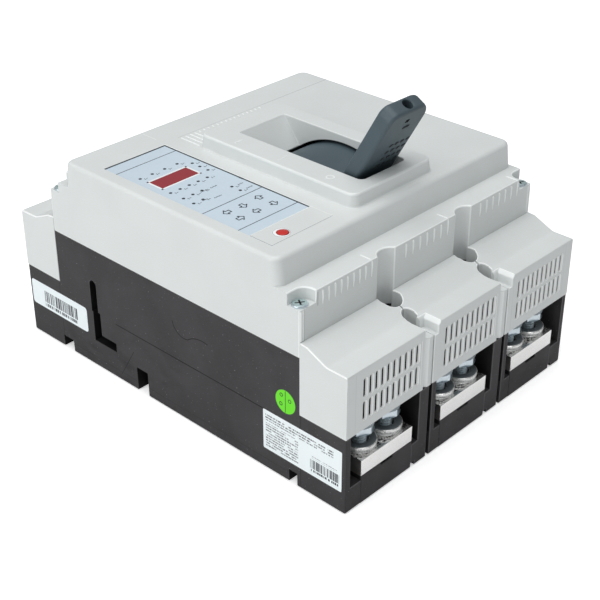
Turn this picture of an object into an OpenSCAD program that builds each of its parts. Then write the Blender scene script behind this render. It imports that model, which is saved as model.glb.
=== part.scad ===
// Three-pole molded case circuit breaker: black base, light grey cover,
// three terminal covers at each end, a toggle handle and a push-to-trip button.
// Millimetres. X runs across the poles, the load end is at -Y, Z is up
// from the mounting face, and the origin is the middle of that face.

/* [Body] */
// Width across the three poles
body_w = 210; // [180:1:240]
// Length from the load end to the line end
body_l = 280; // [240:1:320]
// Length of each terminal block beyond the middle body
end_l = 34; // [28:1:40]
// Height of the black base in the middle
joint_z = 87; // [80:1:95]
// Height of the black base at the terminal blocks
end_z = 50; // [46:1:56]
// Height of the terrace at each end of the cover
terrace_z = 123.5; // [110:0.5:130]
// Height of the flat top of the cover
top_z = 140; // [132:0.5:150]
// Distance from the terrace edge to the raised top, at its foot
plateau_foot = 15; // [12:0.5:20]
// Draft of the raised top over its height
plateau_draft = 2; // [1:0.5:4]

/* [Terminals] */
// Distance between pole centres
pole_pitch = 70; // [60:0.5:80]
// Thickness of the outer walls of the terminal bays
bay_wall = 4; // [3:0.5:6]
// Width of the wall between two terminal bays
mid_wall_w = 15; // [12:0.5:18]
// Height of the floor of a terminal bay
bay_floor = 16; // [12:0.5:18]
// Width of the terminal bars and of the sills under them
bar_w = 44; // [36:0.5:48]
// Thickness of the terminal bars
bar_t = 10.5; // [8:0.5:12]
// Height of the sill under each bar
sill_h = 18.8; // [17:0.1:22]
// Width of the notch in the top edge of the sill
sill_notch_w = 10; // [6:0.5:16]
// Depth of the notch in the top edge of the sill
sill_notch_h = 1.8; // [1:0.1:2.5]
// Length of that notch inwards from the front of the sill
sill_notch_l = 3; // [1.5:0.1:5]
// Width of the foot notch beside each sill
foot_notch_w = 3.5; // [2:0.1:4]
// Length of the foot notch inwards from the end
foot_notch_l = 4; // [2:0.1:8]
// Height of the foot notch
foot_notch_h = 2.6; // [1.5:0.1:5]
// Width of the slot for a phase barrier
barrier_slot_w = 2.8; // [2:0.1:4]
// Length of the slot for a phase barrier
barrier_slot_l = 12; // [8:0.5:14]
// Offset of the phase barrier slot from the line between two poles
barrier_slot_off = 2.2; // [1:0.1:3]

/* [Terminal bolts] */
// Distance between the two bolts of one bar
bolt_pitch = 22; // [20:0.5:24]
// Distance from the bar's front face to the bolt axes
bolt_inset = 11.5; // [10:0.5:14]
// Radius of the bolt shanks
bolt_r = 3.6; // [3:0.1:4]
// Radial clearance of the bolt in the bar and the washers
bolt_gap = 0.3; // [0.2:0.05:0.5]
// Width across the flats of the bolt heads
bolt_af = 12; // [10:0.5:14]
// Height of the bolt heads
bolt_head_h = 6.4; // [5:0.2:8]
// Free length of shank between the washers and the head
bolt_lift = 5.8; // [3:0.2:7]
// Outer radius of the flat washers
flat_r = 8.9; // [8:0.1:9.5]
// Thickness of the flat washers
flat_t = 2; // [1.4:0.1:2.6]
// Outer radius of the spring washers
spring_r = 7.8; // [7:0.1:8.5]
// Thickness of the spring washers
spring_t = 2.2; // [1.6:0.1:2.8]
// Gap between the end of a bolt and the sill
bolt_end_gap = 0.6; // [0.2:0.1:2]

/* [Terminal covers] */
// Height of a terminal cover where it meets the body
tcov_back_z = 96.4; // [92:0.2:102]
// Height of a terminal cover over its front half
tcov_front_z = 89.8; // [84:0.2:92]
// Length of a cover's level back part
tcov_level = 5.3; // [3:0.1:8]
// Length of a cover's slope behind its front part
tcov_slope = 13.1; // [9:0.1:16]
// Length of the curve between the slope and the front part
tcov_bend = 3.6; // [2:0.1:5]
// Height of that curve, and fall of the level part
tcov_fall = 0.4; // [0.2:0.1:1]
// Wall thickness of the terminal covers
tcov_wall = 2.4; // [2:0.1:3]
// Gap between two neighbouring terminal covers
tcov_gap = 0.8; // [0.4:0.1:1.2]
// Half width of the slot left between the cover fronts
tcov_front_gap = 1; // [0.8:0.1:1.6]
// Width of the guide post beside the first two covers
guide_w = 6.4; // [5:0.2:7]
// Depth of the guide post
guide_d = 3.4; // [3:0.2:4]
// Height of the guide post's top
guide_z = 83; // [76:0.5:86]
// Width of the ledge at the front corner of a cover
ledge_w = 3; // [2:0.2:3.4]
// Height of the ledge at the front corner of a cover
ledge_z = 81; // [76:0.5:84]
// Ventilation slots in one row
vent_n = 10; // [8:1:11]
// Distance between ventilation slots
vent_pitch = 4.9; // [4.2:0.1:5]
// Width of a ventilation slot
vent_w = 2; // [1.6:0.1:2.4]
// Height of a ventilation slot
vent_h = 12; // [10:0.5:13]
// Offset of the rows of slots from the middle of the pole
vent_off = 0.6; // [0:0.1:1]
// Height of the middle of the lower row of slots
vent_low_z = 62.3; // [60:0.1:64]
// Height of the middle of the upper row of slots
vent_high_z = 77; // [75:0.1:79]

/* [Mounting] */
// Distance between the two mounting holes of one end
mount_x = 70; // [60:0.5:80]
// Distance between the mounting holes of the two ends
mount_y = 220; // [216:0.5:224]
// Radius of the mounting holes
mount_r = 3.25; // [2.5:0.05:3.5]
// Radius of the wells above the mounting holes
well_r = 8.4; // [7:0.1:8.8]
// Radius of the sunk seats for the mounting screw heads
seat_r = 6; // [5:0.1:6.4]
// Height of the shoulder that the mounting screw heads rest on
well_z = 34; // [20:1:40]
// Radius of the outer round opening between two terminal covers
port_r = 5.4; // [4:0.1:6]
// Distance from the outer round opening to the end of the body
port_inset = 14; // [12:0.5:16]
// Offset of the outer round opening from the line between two poles
port_off = 1; // [0:0.1:2]

/* [Handle] */
// Position of the handle opening and of the lever across the body
handle_x = 4.5; // [0:0.5:8]
// Position of the handle pivot along the body
pivot_y = -22; // [-26:0.5:-18]
// Height of the handle pivot
pivot_z = 82; // [78:0.5:82]
// Lean of the lever at either end of its travel
lever_lean = 29.6; // [24:0.1:30]
// Distance from the pivot to the tip of the lever
lever_len = 128; // [110:1:136]
// Width of the lever
lever_w = 30; // [24:0.5:32]
// Thickness of the lever
lever_t = 10.4; // [8:0.1:11]
// Corner radius at the tip of the lever
lever_corner = 7; // [3:0.5:8]
// Radius of the hole in the tip of the lever
lever_hole_r = 3.5; // [2:0.1:4]
// Depth of the hole in the tip of the lever
lever_hole_d = 9; // [5:0.5:14]
// Width of the small slot on the lever's load side
slot_w = 4.4; // [3:0.1:6]
// Height of the small slot
slot_h = 1.2; // [0.8:0.1:2]
// Depth of the small slot
slot_d = 1.6; // [0.8:0.1:2]
// Distance from the tip of the lever to the middle of the small slot
slot_drop = 14; // [12:0.1:20]
// Outer radius of the curved shield that turns with the lever
shield_r = 56.5; // [54:0.5:57]
// Thickness of the curved shield
shield_t = 6; // [4:0.5:8]
// Angle of the curved shield to each side of the lever
shield_angle = 74; // [70:1:76]
// Gap between the shield and what surrounds it
shield_gap = 5; // [5:0.5:6]
// Overlap of the shield beyond each side of the opening
shield_lap = 5; // [3:0.5:6]
// Width of the web between the hub and the shield
web_w = 9; // [6:0.5:14]
// Angle of the web to each side of the lever
web_angle = 22; // [12:1:30]
// Gap between the shield's lowest point and the floor under it
pit_gap = 7; // [6:0.5:12]
// Radius of the pivot pin
pin_r = 4; // [3:0.1:4.2]
// Radial clearance of the shield's hub on the pivot pin
pin_gap = 0.05; // [0.02:0.01:0.1]
// Radius of the hub on the pivot pin
hub_r = 10; // [8:0.5:12]
// Length of the pivot pin held in each side of the base
pin_hold = 6; // [4:0.5:10]

/* [Handle opening] */
// Width of the opening that the lever passes through
opening_w = 40; // [38:0.5:42]
// Load end of the opening
opening_front = -70.3; // [-74:0.1:-69]
// Line end of the opening at the rim
opening_back = 29.5; // [28:0.1:34]
// Slope of the opening's line end, along the body for each millimetre down
opening_slope = 0.714; // [0.5:0.01:0.8]
// Distance from the shield's edge to the walls beside it
shield_side = 5.5; // [5:0.5:7]
// Height of the raised collar
collar_h = 8.5; // [6:0.5:10]
// Left side of the collar at its foot
collar_left = -34.5; // [-38:0.5:-33]
// Right side of the collar at its foot
collar_right = 38; // [37:0.5:42]
// Load end of the collar at its foot
collar_front = -81; // [-84:0.5:-79]
// Line end of the collar at its foot
collar_back = 46.5; // [42:0.5:50]
// Draft of the collar's walls over their height
collar_draft = 1.2; // [0.5:0.1:2]
// Corner radius of the collar
collar_r = 5; // [3:0.5:7]

/* [Trip unit] */
// Middle of the trip unit across the body
panel_x = -71; // [-74:0.5:-68]
// Width of the trip unit's front plate
panel_w = 48; // [42:0.5:50]
// Load end of the front plate
panel_front = -59.5; // [-62:0.5:-56]
// Line end of the front plate
panel_back = 63; // [56:0.5:68]
// Depth of the recess that the front plate lies in
panel_recess = 2; // [1.5:0.1:3]
// Thickness of the front plate
panel_t = 1.4; // [1:0.1:1.5]
// Width of the display window
window_w = 28.7; // [24:0.1:34]
// Length of the display window
window_l = 11.8; // [8:0.1:14]
// Position of the display window across the body
window_x = -73.9; // [-75:0.1:-70]
// Position of the display window along the body
window_y = 24.1; // [15:0.1:35]
// Thickness of the display window
window_t = 0.9; // [0.6:0.1:1]
// Length of the strip that carries the trip button
strip_l = 16.4; // [14:0.2:17]
// Gap between the front plate and the strip
strip_gap = 0.6; // [0.3:0.1:1]
// Distance of the trip button from the strip's middle, towards the load end
button_off = 2; // [0:0.1:3]
// Position of the trip button across the body
button_x = -80.2; // [-84:0.1:-76]
// Radius of the trip button
button_r = 3.4; // [3:0.1:4]
// Radial clearance around the trip button
button_gap = 0.5; // [0.3:0.05:0.8]
// Travel of the trip button
button_travel = 3; // [2:0.1:4]
// Height of the trip button above the top
button_proud = 0.6; // [0.2:0.1:1.5]
// Length of the trip button
button_l = 12; // [9:0.5:14]

/* [Cover screws] */
// Distance from the body's side to the screw axes
screw_side = 5.4; // [5:0.1:6.5]
// Distance from the middle body's end to the screw axes
screw_end = 4.8; // [4.6:0.1:6]
// Radius of the screw heads
screw_head_r = 4.1; // [3.5:0.1:4.4]
// Height of the screw heads
screw_head_h = 2.2; // [1.6:0.1:3]
// Radius of the screw shanks
screw_r = 2; // [1.5:0.1:2.5]
// Length of the screw shanks
screw_l = 22; // [16:0.5:26]
// Radius of the pockets that the screws lie in
pocket_r = 6.4; // [5:0.1:8]
// Depth of the pockets below the terrace
pocket_d = 7.5; // [5:0.5:12]
// Distance from the middle body's end to the pocket axes
pocket_end = 2.5; // [1:0.1:5]

/* [Side details] */
// Depth of the wiring slot in each side
wire_d = 6; // [4:0.5:8]
// Width of the wiring slot
wire_w = 7.4; // [6:0.2:9]
// Position of the wiring slot along the body
wire_y = 70; // [64:0.5:76]
// Height of the foot of the wiring slot
wire_foot_h = 6.4; // [5:0.1:9]
// Sideways step halfway up the wiring slot
wire_step = 2; // [0.5:0.1:3]
// Length of the foot of the wiring slot
wire_foot = 21.6; // [16:0.2:26]
// Bottom of the wiring slot
wire_low = 19.4; // [16:0.2:24]
// Top of the wiring slot
wire_top = 64.4; // [56:0.2:72]
// Depth of the notches along the mounting face
notch_d = 9; // [6:0.5:12]
// Height of the small notches
notch_h = 8.5; // [6:0.5:12]
// Position of the tall notch along the body
notch_tall_y = 28.2; // [20:0.1:40]
// Distance of the outer notches beyond or within the middle body's ends
notch_shift = 2; // [0:0.1:4]
// Height of the tall notch
notch_tall_h = 17; // [12:0.5:20]
// Length of the two longer notches
notch_l = 10.5; // [8:0.5:14]
// Length of the short notch
notch_short_l = 6.5; // [4:0.5:8]

/* [Hidden] */
$fn = 48;
hw = body_w / 2;
hl = body_l / 2;
ml = hl - end_l;
over = 10;
black = [0.24, 0.24, 0.25];
grey = [0.84, 0.86, 0.86];
blue_grey = [0.30, 0.35, 0.38];
tin = [0.86, 0.86, 0.83];
zinc = [0.62, 0.68, 0.72];
steel = [0.45, 0.48, 0.50];
bar_top = sill_h + bar_t;
spring_top = bar_top + spring_t;
flat_top = spring_top + flat_t;
head_z = flat_top + bolt_lift;
bolt_y = hl - bolt_inset;
cavity_r = shield_r + shield_gap;
shield_w = opening_w + 2 * shield_lap;
cavity_w = shield_w + 2 * shield_side;
collar_top = top_z + collar_h;
pit_z = pivot_z - shield_r * sin(shield_angle + lever_lean - 90) - pit_gap;
pocket_z = terrace_z - pocket_d;
pocket_x = hw - pocket_r;
pocket_y = ml - pocket_end;
strip_back = panel_front - strip_gap;
strip_front = strip_back - strip_l;
button_y = (strip_back + strip_front) / 2 - button_off;
wire_mid = (wire_low + wire_top) / 2;

// Axis-aligned box from two corners.
module box(a, b) {
  translate(a)
    cube([b[0] - a[0], b[1] - a[1], b[2] - a[2]]);
}

// Prism along X over y-z points.
module prism_x(x0, x1, pts) {
  translate([x0, 0, 0])
    rotate([90, 0, 90])
      linear_extrude(height = x1 - x0)
        polygon(pts);
}

// Prism along Y over x-z points.
module prism_y(y0, y1, pts) {
  translate([0, y1, 0])
    rotate([90, 0, 0])
      linear_extrude(height = y1 - y0)
        polygon(pts);
}

// Line-end copy of a load-end piece: half a turn about the vertical.
module line_end() {
  rotate([0, 0, 180])
    children();
}

// Cylinder about the handle's pivot line.
module about_pivot(r, x0, x1) {
  translate([x0, pivot_y, pivot_z])
    rotate([0, 90, 0])
      cylinder(r = r, h = x1 - x0, $fn = 96);
}

// Clear space in which the shield turns, above height z0.
module turning_space(z0) {
  intersection() {
    about_pivot(cavity_r, handle_x - cavity_w / 2, handle_x + cavity_w / 2);
    box([-hw, -hl, z0], [hw, hl, collar_top + over]);
  }
}

// Opening for the lever, with a sloped wall at its line end.
module lever_opening(z0) {
  high = collar_top + 2;
  low = z0 - 2;
  back_high = opening_back + 2 * opening_slope;
  back_low = opening_back - (collar_top - low) * opening_slope;
  prism_x(handle_x - opening_w / 2, handle_x + opening_w / 2,
    [[opening_front, low], [back_low, low], [back_high, high], [opening_front, high]]);
}

// Bay of one pole at the load end, above its floor.
module bay(pole) {
  x0 = pole == -1 ? -hw + bay_wall : pole * pole_pitch - (pole_pitch - mid_wall_w) / 2;
  x1 = pole == 1 ? hw - bay_wall : pole * pole_pitch + (pole_pitch - mid_wall_w) / 2;
  box([x0, -hl - over, bay_floor], [x1, -ml, end_z + over]);
  sill_pocket(pole);
}

// Pocket in the base for the sill under one bar.
module sill_pocket(pole) {
  box([pole * pole_pitch - bar_w / 2, -hl - over, -over],
    [pole * pole_pitch + bar_w / 2, -ml, bay_floor + over]);
}

// Slot for a phase barrier between two bays.
module barrier_slot(side) {
  x0 = side * pole_pitch / 2 + barrier_slot_off - barrier_slot_w / 2;
  box([x0, -hl - over, -over], [x0 + barrier_slot_w, -hl + barrier_slot_l, end_z + over]);
}

// Small foot notches below the bay walls.
module foot_notch(pole) {
  x0 = pole * pole_pitch + bar_w / 2;
  box([x0, -hl - over, -over], [x0 + foot_notch_w, -hl + foot_notch_l, foot_notch_h]);
}

// Mounting hole with the well above it.
module mounting_bore(side, end) {
  translate([side * mount_x / 2, end * mount_y / 2, -over])
    cylinder(r = mount_r, h = end_z + 2 * over);
  translate([side * mount_x / 2, end * mount_y / 2, well_z])
    cylinder(r = seat_r, h = end_z);
  translate([side * mount_x / 2, end * mount_y / 2, end_z])
    cylinder(r = well_r, h = terrace_z + over);
}

// Step slot and notches of one side of the base, drawn on the left.
module side_cuts() {
  xs = -hw - over;
  xd = -hw + wire_d;
  round_z = wire_top - wire_w / 2;
  y0 = wire_y - wire_w / 2;
  y1 = wire_y + wire_w / 2;
  box([xs, y0, wire_low], [xd, y1, wire_mid]);
  box([xs, y0 + wire_step, wire_mid - 1], [xd, y1 + wire_step - 1, round_z]);
  translate([xs, wire_y + wire_step - 0.5, round_z])
    rotate([0, 90, 0])
      cylinder(r = (wire_w - 1) / 2, h = over + wire_d);
  box([xs, y1 - wire_foot, wire_low], [xd, wire_y, wire_low + wire_foot_h]);
  box([xs, ml + notch_shift - notch_l, -over], [-hw + notch_d, ml + notch_shift, notch_h]);
  box([xs, notch_tall_y - notch_l / 2, -over], [-hw + notch_d, notch_tall_y + notch_l / 2, notch_tall_h]);
  box([xs, -ml + notch_shift, -over], [-hw + notch_d, -ml + notch_shift + notch_short_l, notch_h]);
}

module base_housing() {
  color(black)
    difference() {
      union() {
        box([-hw, -ml, 0], [hw, ml, joint_z]);
        box([-hw, -hl, 0], [hw, -ml, end_z]);
        box([-hw, ml, 0], [hw, hl, end_z]);
      }
      for (pole = [-1:1]) {
        bay(pole);
        line_end() bay(pole);
        foot_notch(pole);
        line_end() foot_notch(pole);
      }
      for (side = [-1:2:1]) {
        barrier_slot(side);
        line_end() barrier_slot(side);
        mounting_bore(side, -1);
        mounting_bore(side, 1);
      }
      side_cuts();
      mirror([1, 0, 0])
        side_cuts();
      box([handle_x - cavity_w / 2, pivot_y - cavity_r, pit_z],
        [handle_x + cavity_w / 2, pivot_y + cavity_r, joint_z + over]);
      about_pivot(pin_r, handle_x - cavity_w / 2 - pin_hold, handle_x + cavity_w / 2 + pin_hold);
    }
}

// Pocket for a cover screw at one corner, open to both outer faces.
module screw_pocket(sx, sy) {
  scale([sx, sy, 1]) {
    translate([-pocket_x, -pocket_y, pocket_z])
      cylinder(r = pocket_r, h = pocket_d + over);
    box([-hw - over, -ml - over, pocket_z], [-pocket_x + pocket_r, -pocket_y, terrace_z + over]);
    box([-hw - over, -ml - over, pocket_z], [-pocket_x, -pocket_y + pocket_r, terrace_z + over]);
  }
}

module upper_cover() {
  color(grey)
    difference() {
      prism_x(-hw, hw, [[-ml, joint_z], [ml, joint_z], [ml, terrace_z], [ml - plateau_foot, terrace_z],
        [ml - plateau_foot - plateau_draft, top_z], [-ml + plateau_foot + plateau_draft, top_z],
        [-ml + plateau_foot, terrace_z], [-ml, terrace_z]]);
      turning_space(joint_z - over);
      lever_opening(joint_z);
      for (side = [-1:2:1]) {
        mounting_bore(side, -1);
        mounting_bore(side, 1);
        for (end = [-1:2:1]) {
          screw_pocket(side, end);
          translate([side * (hw - screw_side), end * (ml - screw_end), pocket_z - screw_l])
            cylinder(r = screw_r, h = screw_l + over);
        }
      }
      box([panel_x - panel_w / 2, panel_front, top_z - panel_recess],
        [panel_x + panel_w / 2, panel_back, top_z + over]);
      box([panel_x - panel_w / 2, strip_front, top_z - panel_recess],
        [panel_x + panel_w / 2, strip_back, top_z + over]);
      translate([button_x, button_y, top_z + button_proud - button_l - button_travel - 1])
        cylinder(r = button_r + button_gap, h = button_l + over);
    }
}

module handle_collar() {
  color(grey)
    difference() {
      intersection() {
        prism_y(collar_front - 1, collar_back + 1, [[collar_left, top_z], [collar_right, top_z],
          [collar_right - collar_draft, collar_top], [collar_left + collar_draft, collar_top]]);
        prism_x(collar_left - 1, collar_right + 1, [[collar_front, top_z], [collar_back, top_z],
          [collar_back - collar_draft, collar_top], [collar_front + collar_draft, collar_top]]);
        collar_outline();
      }
      turning_space(joint_z);
      lever_opening(joint_z);
    }
}

// Rounded outline of the collar.
module collar_outline() {
  xa = collar_left + collar_r;
  xb = collar_right - collar_r;
  ya = collar_front + collar_r;
  yb = collar_back - collar_r;
  box([collar_left, ya, top_z - 1], [collar_right, yb, collar_top + 1]);
  box([xa, collar_front, top_z - 1], [xb, collar_back, collar_top + 1]);
  for (x = [xa, xb])
    for (y = [ya, yb])
      translate([x, y, top_z - 1])
        cylinder(r = collar_r, h = collar_h + 2);
}

module trip_panel() {
  z0 = top_z - panel_recess;
  color([0.80, 0.86, 0.92])
    difference() {
      box([panel_x - panel_w / 2, panel_front, z0], [panel_x + panel_w / 2, panel_back, z0 + panel_t]);
      box([window_x - window_w / 2, window_y - window_l / 2, z0 + panel_t - window_t],
        [window_x + window_w / 2, window_y + window_l / 2, top_z]);
    }
}

module display_window() {
  z1 = top_z - panel_recess + panel_t;
  color([0.62, 0.20, 0.22])
    box([window_x - window_w / 2, window_y - window_l / 2, z1 - window_t],
      [window_x + window_w / 2, window_y + window_l / 2, z1]);
}

module button_strip() {
  color(grey)
    difference() {
      box([panel_x - panel_w / 2, strip_front, top_z - panel_recess],
        [panel_x + panel_w / 2, strip_back, top_z]);
      translate([button_x, button_y, top_z - panel_recess - 1])
        cylinder(r = button_r + button_gap, h = panel_recess + 2);
    }
}

module trip_button() {
  color([0.85, 0.22, 0.20])
    translate([button_x, button_y, top_z + button_proud - button_l])
      cylinder(r = button_r, h = button_l);
}

// Rounded plate of the lever in its own upright position.
module lever_blank() {
  r = lever_corner;
  difference() {
    union() {
      box([-lever_w / 2, -lever_t / 2, shield_r - 20], [lever_w / 2, lever_t / 2, lever_len - r]);
      box([-lever_w / 2 + r, -lever_t / 2, lever_len - r - 1], [lever_w / 2 - r, lever_t / 2, lever_len]);
      for (side = [-1:2:1])
        translate([side * (lever_w / 2 - r), lever_t / 2, lever_len - r])
          rotate([90, 0, 0])
            cylinder(r = r, h = lever_t);
    }
    translate([0, 0, lever_len - lever_hole_d])
      cylinder(r = lever_hole_r, h = lever_hole_d + 1);
    box([-slot_w / 2, -lever_t / 2 - 1, lever_len - slot_drop - slot_h / 2],
      [slot_w / 2, -lever_t / 2 + slot_d, lever_len - slot_drop + slot_h / 2]);
  }
}

module handle_lever() {
  color(blue_grey)
    difference() {
      translate([handle_x, pivot_y, pivot_z])
        rotate([lever_lean, 0, 0])
          lever_blank();
      about_pivot(shield_r, -hw, hw);
    }
}

// Wedge along X, to each side of the leaning lever.
module wedge(angle, x0, x1) {
  far = 2 * lever_len;
  translate([x0, pivot_y, pivot_z])
    rotate([lever_lean, 0, 0])
      rotate([90, 0, 90])
        linear_extrude(height = x1 - x0)
          polygon([[0, 0], [far * sin(angle), far * cos(angle)], [far * sin(angle), far],
            [-far * sin(angle), far], [-far * sin(angle), far * cos(angle)]]);
}

module handle_shield() {
  x0 = handle_x - shield_w / 2;
  x1 = handle_x + shield_w / 2;
  color(blue_grey)
    difference() {
      union() {
        intersection() {
          difference() {
            about_pivot(shield_r, x0, x1);
            about_pivot(shield_r - shield_t, x0 - 1, x1 + 1);
          }
          wedge(shield_angle, x0 - 1, x1 + 1);
        }
        intersection() {
          about_pivot(shield_r - shield_t / 2, handle_x - web_w / 2, handle_x + web_w / 2);
          wedge(web_angle, handle_x - web_w / 2 - 1, handle_x + web_w / 2 + 1);
        }
        about_pivot(hub_r, x0, x1);
      }
      about_pivot(pin_r + pin_gap, x0 - 1, x1 + 1);
    }
}

module pivot_pin() {
  color(steel)
    about_pivot(pin_r, handle_x - cavity_w / 2 - pin_hold, handle_x + cavity_w / 2 + pin_hold);
}

module cover_screws() {
  color(zinc)
    for (sx = [-1:2:1])
      for (sy = [-1:2:1])
        translate([sx * (hw - screw_side), sy * (ml - screw_end), pocket_z]) {
          cylinder(r = screw_head_r, h = screw_head_h);
          translate([0, 0, -screw_l])
            cylinder(r = screw_r, h = screw_l);
        }
}

// Side profile of a terminal cover at the load end, shrunk by t.
function tcov_profile(t) = [[-ml + (t > 0 ? over : 0), end_z - (t > 0 ? over : 0)],
  [-ml + (t > 0 ? over : 0), tcov_back_z - t],
  [-ml - tcov_level, tcov_back_z - t - tcov_fall],
  [-ml - tcov_level - tcov_slope, tcov_front_z - t + tcov_fall],
  [-ml - tcov_level - tcov_slope - tcov_bend, tcov_front_z - t],
  [-hl + t, tcov_front_z - t],
  [-hl + t, end_z - (t > 0 ? over : 0)]];

// Footprint edges of the cover of one pole: [left back, left front, right back, right front].
function tcov_edges(pole) = [
  pole == -1 ? -hw : pole * pole_pitch - pole_pitch / 2 + tcov_gap / 2,
  pole == -1 ? -hw : pole * pole_pitch - pole_pitch / 2 + barrier_slot_off + tcov_front_gap,
  pole == 1 ? hw : pole * pole_pitch + pole_pitch / 2 - tcov_gap / 2,
  pole == 1 ? hw : pole * pole_pitch + pole_pitch / 2 + barrier_slot_off - tcov_front_gap - guide_w];

// Footprint of a cover as a prism, shrunk by t at its sides.
module tcov_foot(pole, t) {
  e = tcov_edges(pole);
  split = -hl + port_inset;
  box([e[0] + t, split, end_z - 1 - over * t], [e[2] - t, -ml + over, tcov_back_z + over]);
  box([e[1] + t, -hl - over, end_z - 1 - over * t], [e[3] - t, split + 0.01, tcov_back_z + over]);
}

// Round wells that cut into the cover of one pole, grown by t.
module tcov_wells(pole, t) {
  for (side = [-1:2:1]) {
    translate([side * mount_x / 2, -mount_y / 2, end_z - 2 * over])
      cylinder(r = well_r + t, h = tcov_back_z);
    translate([side * mount_x / 2 - port_off, -hl + port_inset, end_z - 2 * over])
      cylinder(r = port_r + t, h = tcov_back_z);
  }
}

// Ledge at the front corner of a cover, grown by t.
module tcov_ledge(pole, t) {
  x0 = tcov_edges(pole)[1];
  if (pole > -1)
    box([x0 - 1, -hl - 1, ledge_z - t], [x0 + ledge_w + t, -hl + port_inset - port_r + t, tcov_back_z]);
}

// Ventilation slots in the front of a cover.
module tcov_vents(pole) {
  for (i = [0:vent_n - 1])
    for (z = [vent_low_z, vent_high_z]) {
      x = pole * pole_pitch + vent_off + (i - (vent_n - 1) / 2) * vent_pitch;
      half = (vent_h - vent_w) / 2;
      box([x - vent_w / 2, -hl - 1, z - half], [x + vent_w / 2, -hl + tcov_wall + 1, z + half]);
      for (end = [-1:2:1])
        translate([x, -hl - 1, z + end * half])
          rotate([-90, 0, 0])
            cylinder(r = vent_w / 2, h = tcov_wall + 2);
    }
}

// Terminal cover of one pole at the load end.
module terminal_cover(pole) {
  e = tcov_edges(pole);
  color(grey)
    difference() {
      union() {
        intersection() {
          prism_x(-hw, hw, tcov_profile(0));
          tcov_foot(pole, 0);
        }
        if (pole < 1)
          box([e[3], -hl, end_z], [e[3] + guide_w, -hl + guide_d, guide_z]);
      }
      tcov_wells(pole, 0);
      tcov_ledge(pole, 0);
      tcov_vents(pole);
      difference() {
        intersection() {
          prism_x(-hw, hw, tcov_profile(tcov_wall));
          tcov_foot(pole, tcov_wall);
        }
        tcov_wells(pole, tcov_wall);
        tcov_ledge(pole, tcov_wall);
      }
    }
}

module load_cover_left() { terminal_cover(-1); }
module load_cover_centre() { terminal_cover(0); }
module load_cover_right() { terminal_cover(1); }
module line_cover_left() { line_end() terminal_cover(1); }
module line_cover_centre() { line_end() terminal_cover(0); }
module line_cover_right() { line_end() terminal_cover(-1); }

// Insulating sill under the bar of one pole at the load end.
module sill(pole) {
  x = pole * pole_pitch;
  color(black)
    difference() {
      box([x - bar_w / 2, -hl, 0], [x + bar_w / 2, -ml, sill_h]);
      box([x - sill_notch_w / 2, -hl - 1, sill_h - sill_notch_h],
        [x + sill_notch_w / 2, -hl + sill_notch_l, sill_h + 1]);
    }
}

module load_sill_left() { sill(-1); }
module load_sill_centre() { sill(0); }
module load_sill_right() { sill(1); }
module line_sill_left() { line_end() sill(1); }
module line_sill_centre() { line_end() sill(0); }
module line_sill_right() { line_end() sill(-1); }

// Terminal bar of one pole at the load end.
module bar(pole) {
  x = pole * pole_pitch;
  color(tin)
    difference() {
      box([x - bar_w / 2, -hl, sill_h], [x + bar_w / 2, -ml, bar_top]);
      for (side = [-1:2:1])
        translate([x + side * bolt_pitch / 2, -bolt_y, sill_h - 1])
          cylinder(r = bolt_r + bolt_gap, h = bar_t + 2);
    }
}

module load_bar_left() { bar(-1); }
module load_bar_centre() { bar(0); }
module load_bar_right() { bar(1); }
module line_bar_left() { line_end() bar(1); }
module line_bar_centre() { line_end() bar(0); }
module line_bar_right() { line_end() bar(-1); }

// One copy of the child on each bolt axis of the load end.
module on_bolts() {
  for (pole = [-1:1])
    for (side = [-1:2:1])
      translate([pole * pole_pitch + side * bolt_pitch / 2, -bolt_y, 0])
        children();
}

// Washer between two heights.
module washer(r, z0, t) {
  translate([0, 0, z0])
    difference() {
      cylinder(r = r, h = t);
      translate([0, 0, -1])
        cylinder(r = bolt_r + bolt_gap, h = t + 2);
    }
}

// Hexagon bolt with its shank in the bar.
module hex_bolt() {
  translate([0, 0, head_z])
    cylinder(r = bolt_af / 2 / cos(30), h = bolt_head_h, $fn = 6);
  translate([0, 0, sill_h + bolt_end_gap])
    cylinder(r = bolt_r, h = head_z - sill_h - bolt_end_gap);
}

module load_bolts() { color(zinc) on_bolts() hex_bolt(); }
module load_flat_washers() { color(steel) on_bolts() washer(flat_r, spring_top, flat_t); }
module load_spring_washers() { color(tin) on_bolts() washer(spring_r, bar_top, spring_t); }
module line_bolts() { line_end() load_bolts(); }
module line_flat_washers() { line_end() load_flat_washers(); }
module line_spring_washers() { line_end() load_spring_washers(); }

base_housing();
upper_cover();
handle_collar();
trip_panel();
display_window();
button_strip();
trip_button();
handle_lever();
handle_shield();
pivot_pin();
cover_screws();
load_cover_left();
load_cover_centre();
load_cover_right();
line_cover_left();
line_cover_centre();
line_cover_right();
load_sill_left();
load_sill_centre();
load_sill_right();
line_sill_left();
line_sill_centre();
line_sill_right();
load_bar_left();
load_bar_centre();
load_bar_right();
line_bar_left();
line_bar_centre();
line_bar_right();
load_bolts();
load_flat_washers();
load_spring_washers();
line_bolts();
line_flat_washers();
line_spring_washers();
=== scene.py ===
"""Looks of a three-pole molded case circuit breaker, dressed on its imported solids.

Every shape is drawn in millimetres in the part's own frame and brought to metres
when it is finished. X runs across the poles, the load end is at -Y, Z is up.
"""

import logging
import math
import random
from dataclasses import dataclass
from enum import Enum
from typing import Callable, Dict, List, Optional, Sequence, Tuple, Union

import bmesh
import bpy
from mathutils import Matrix, Vector

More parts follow.
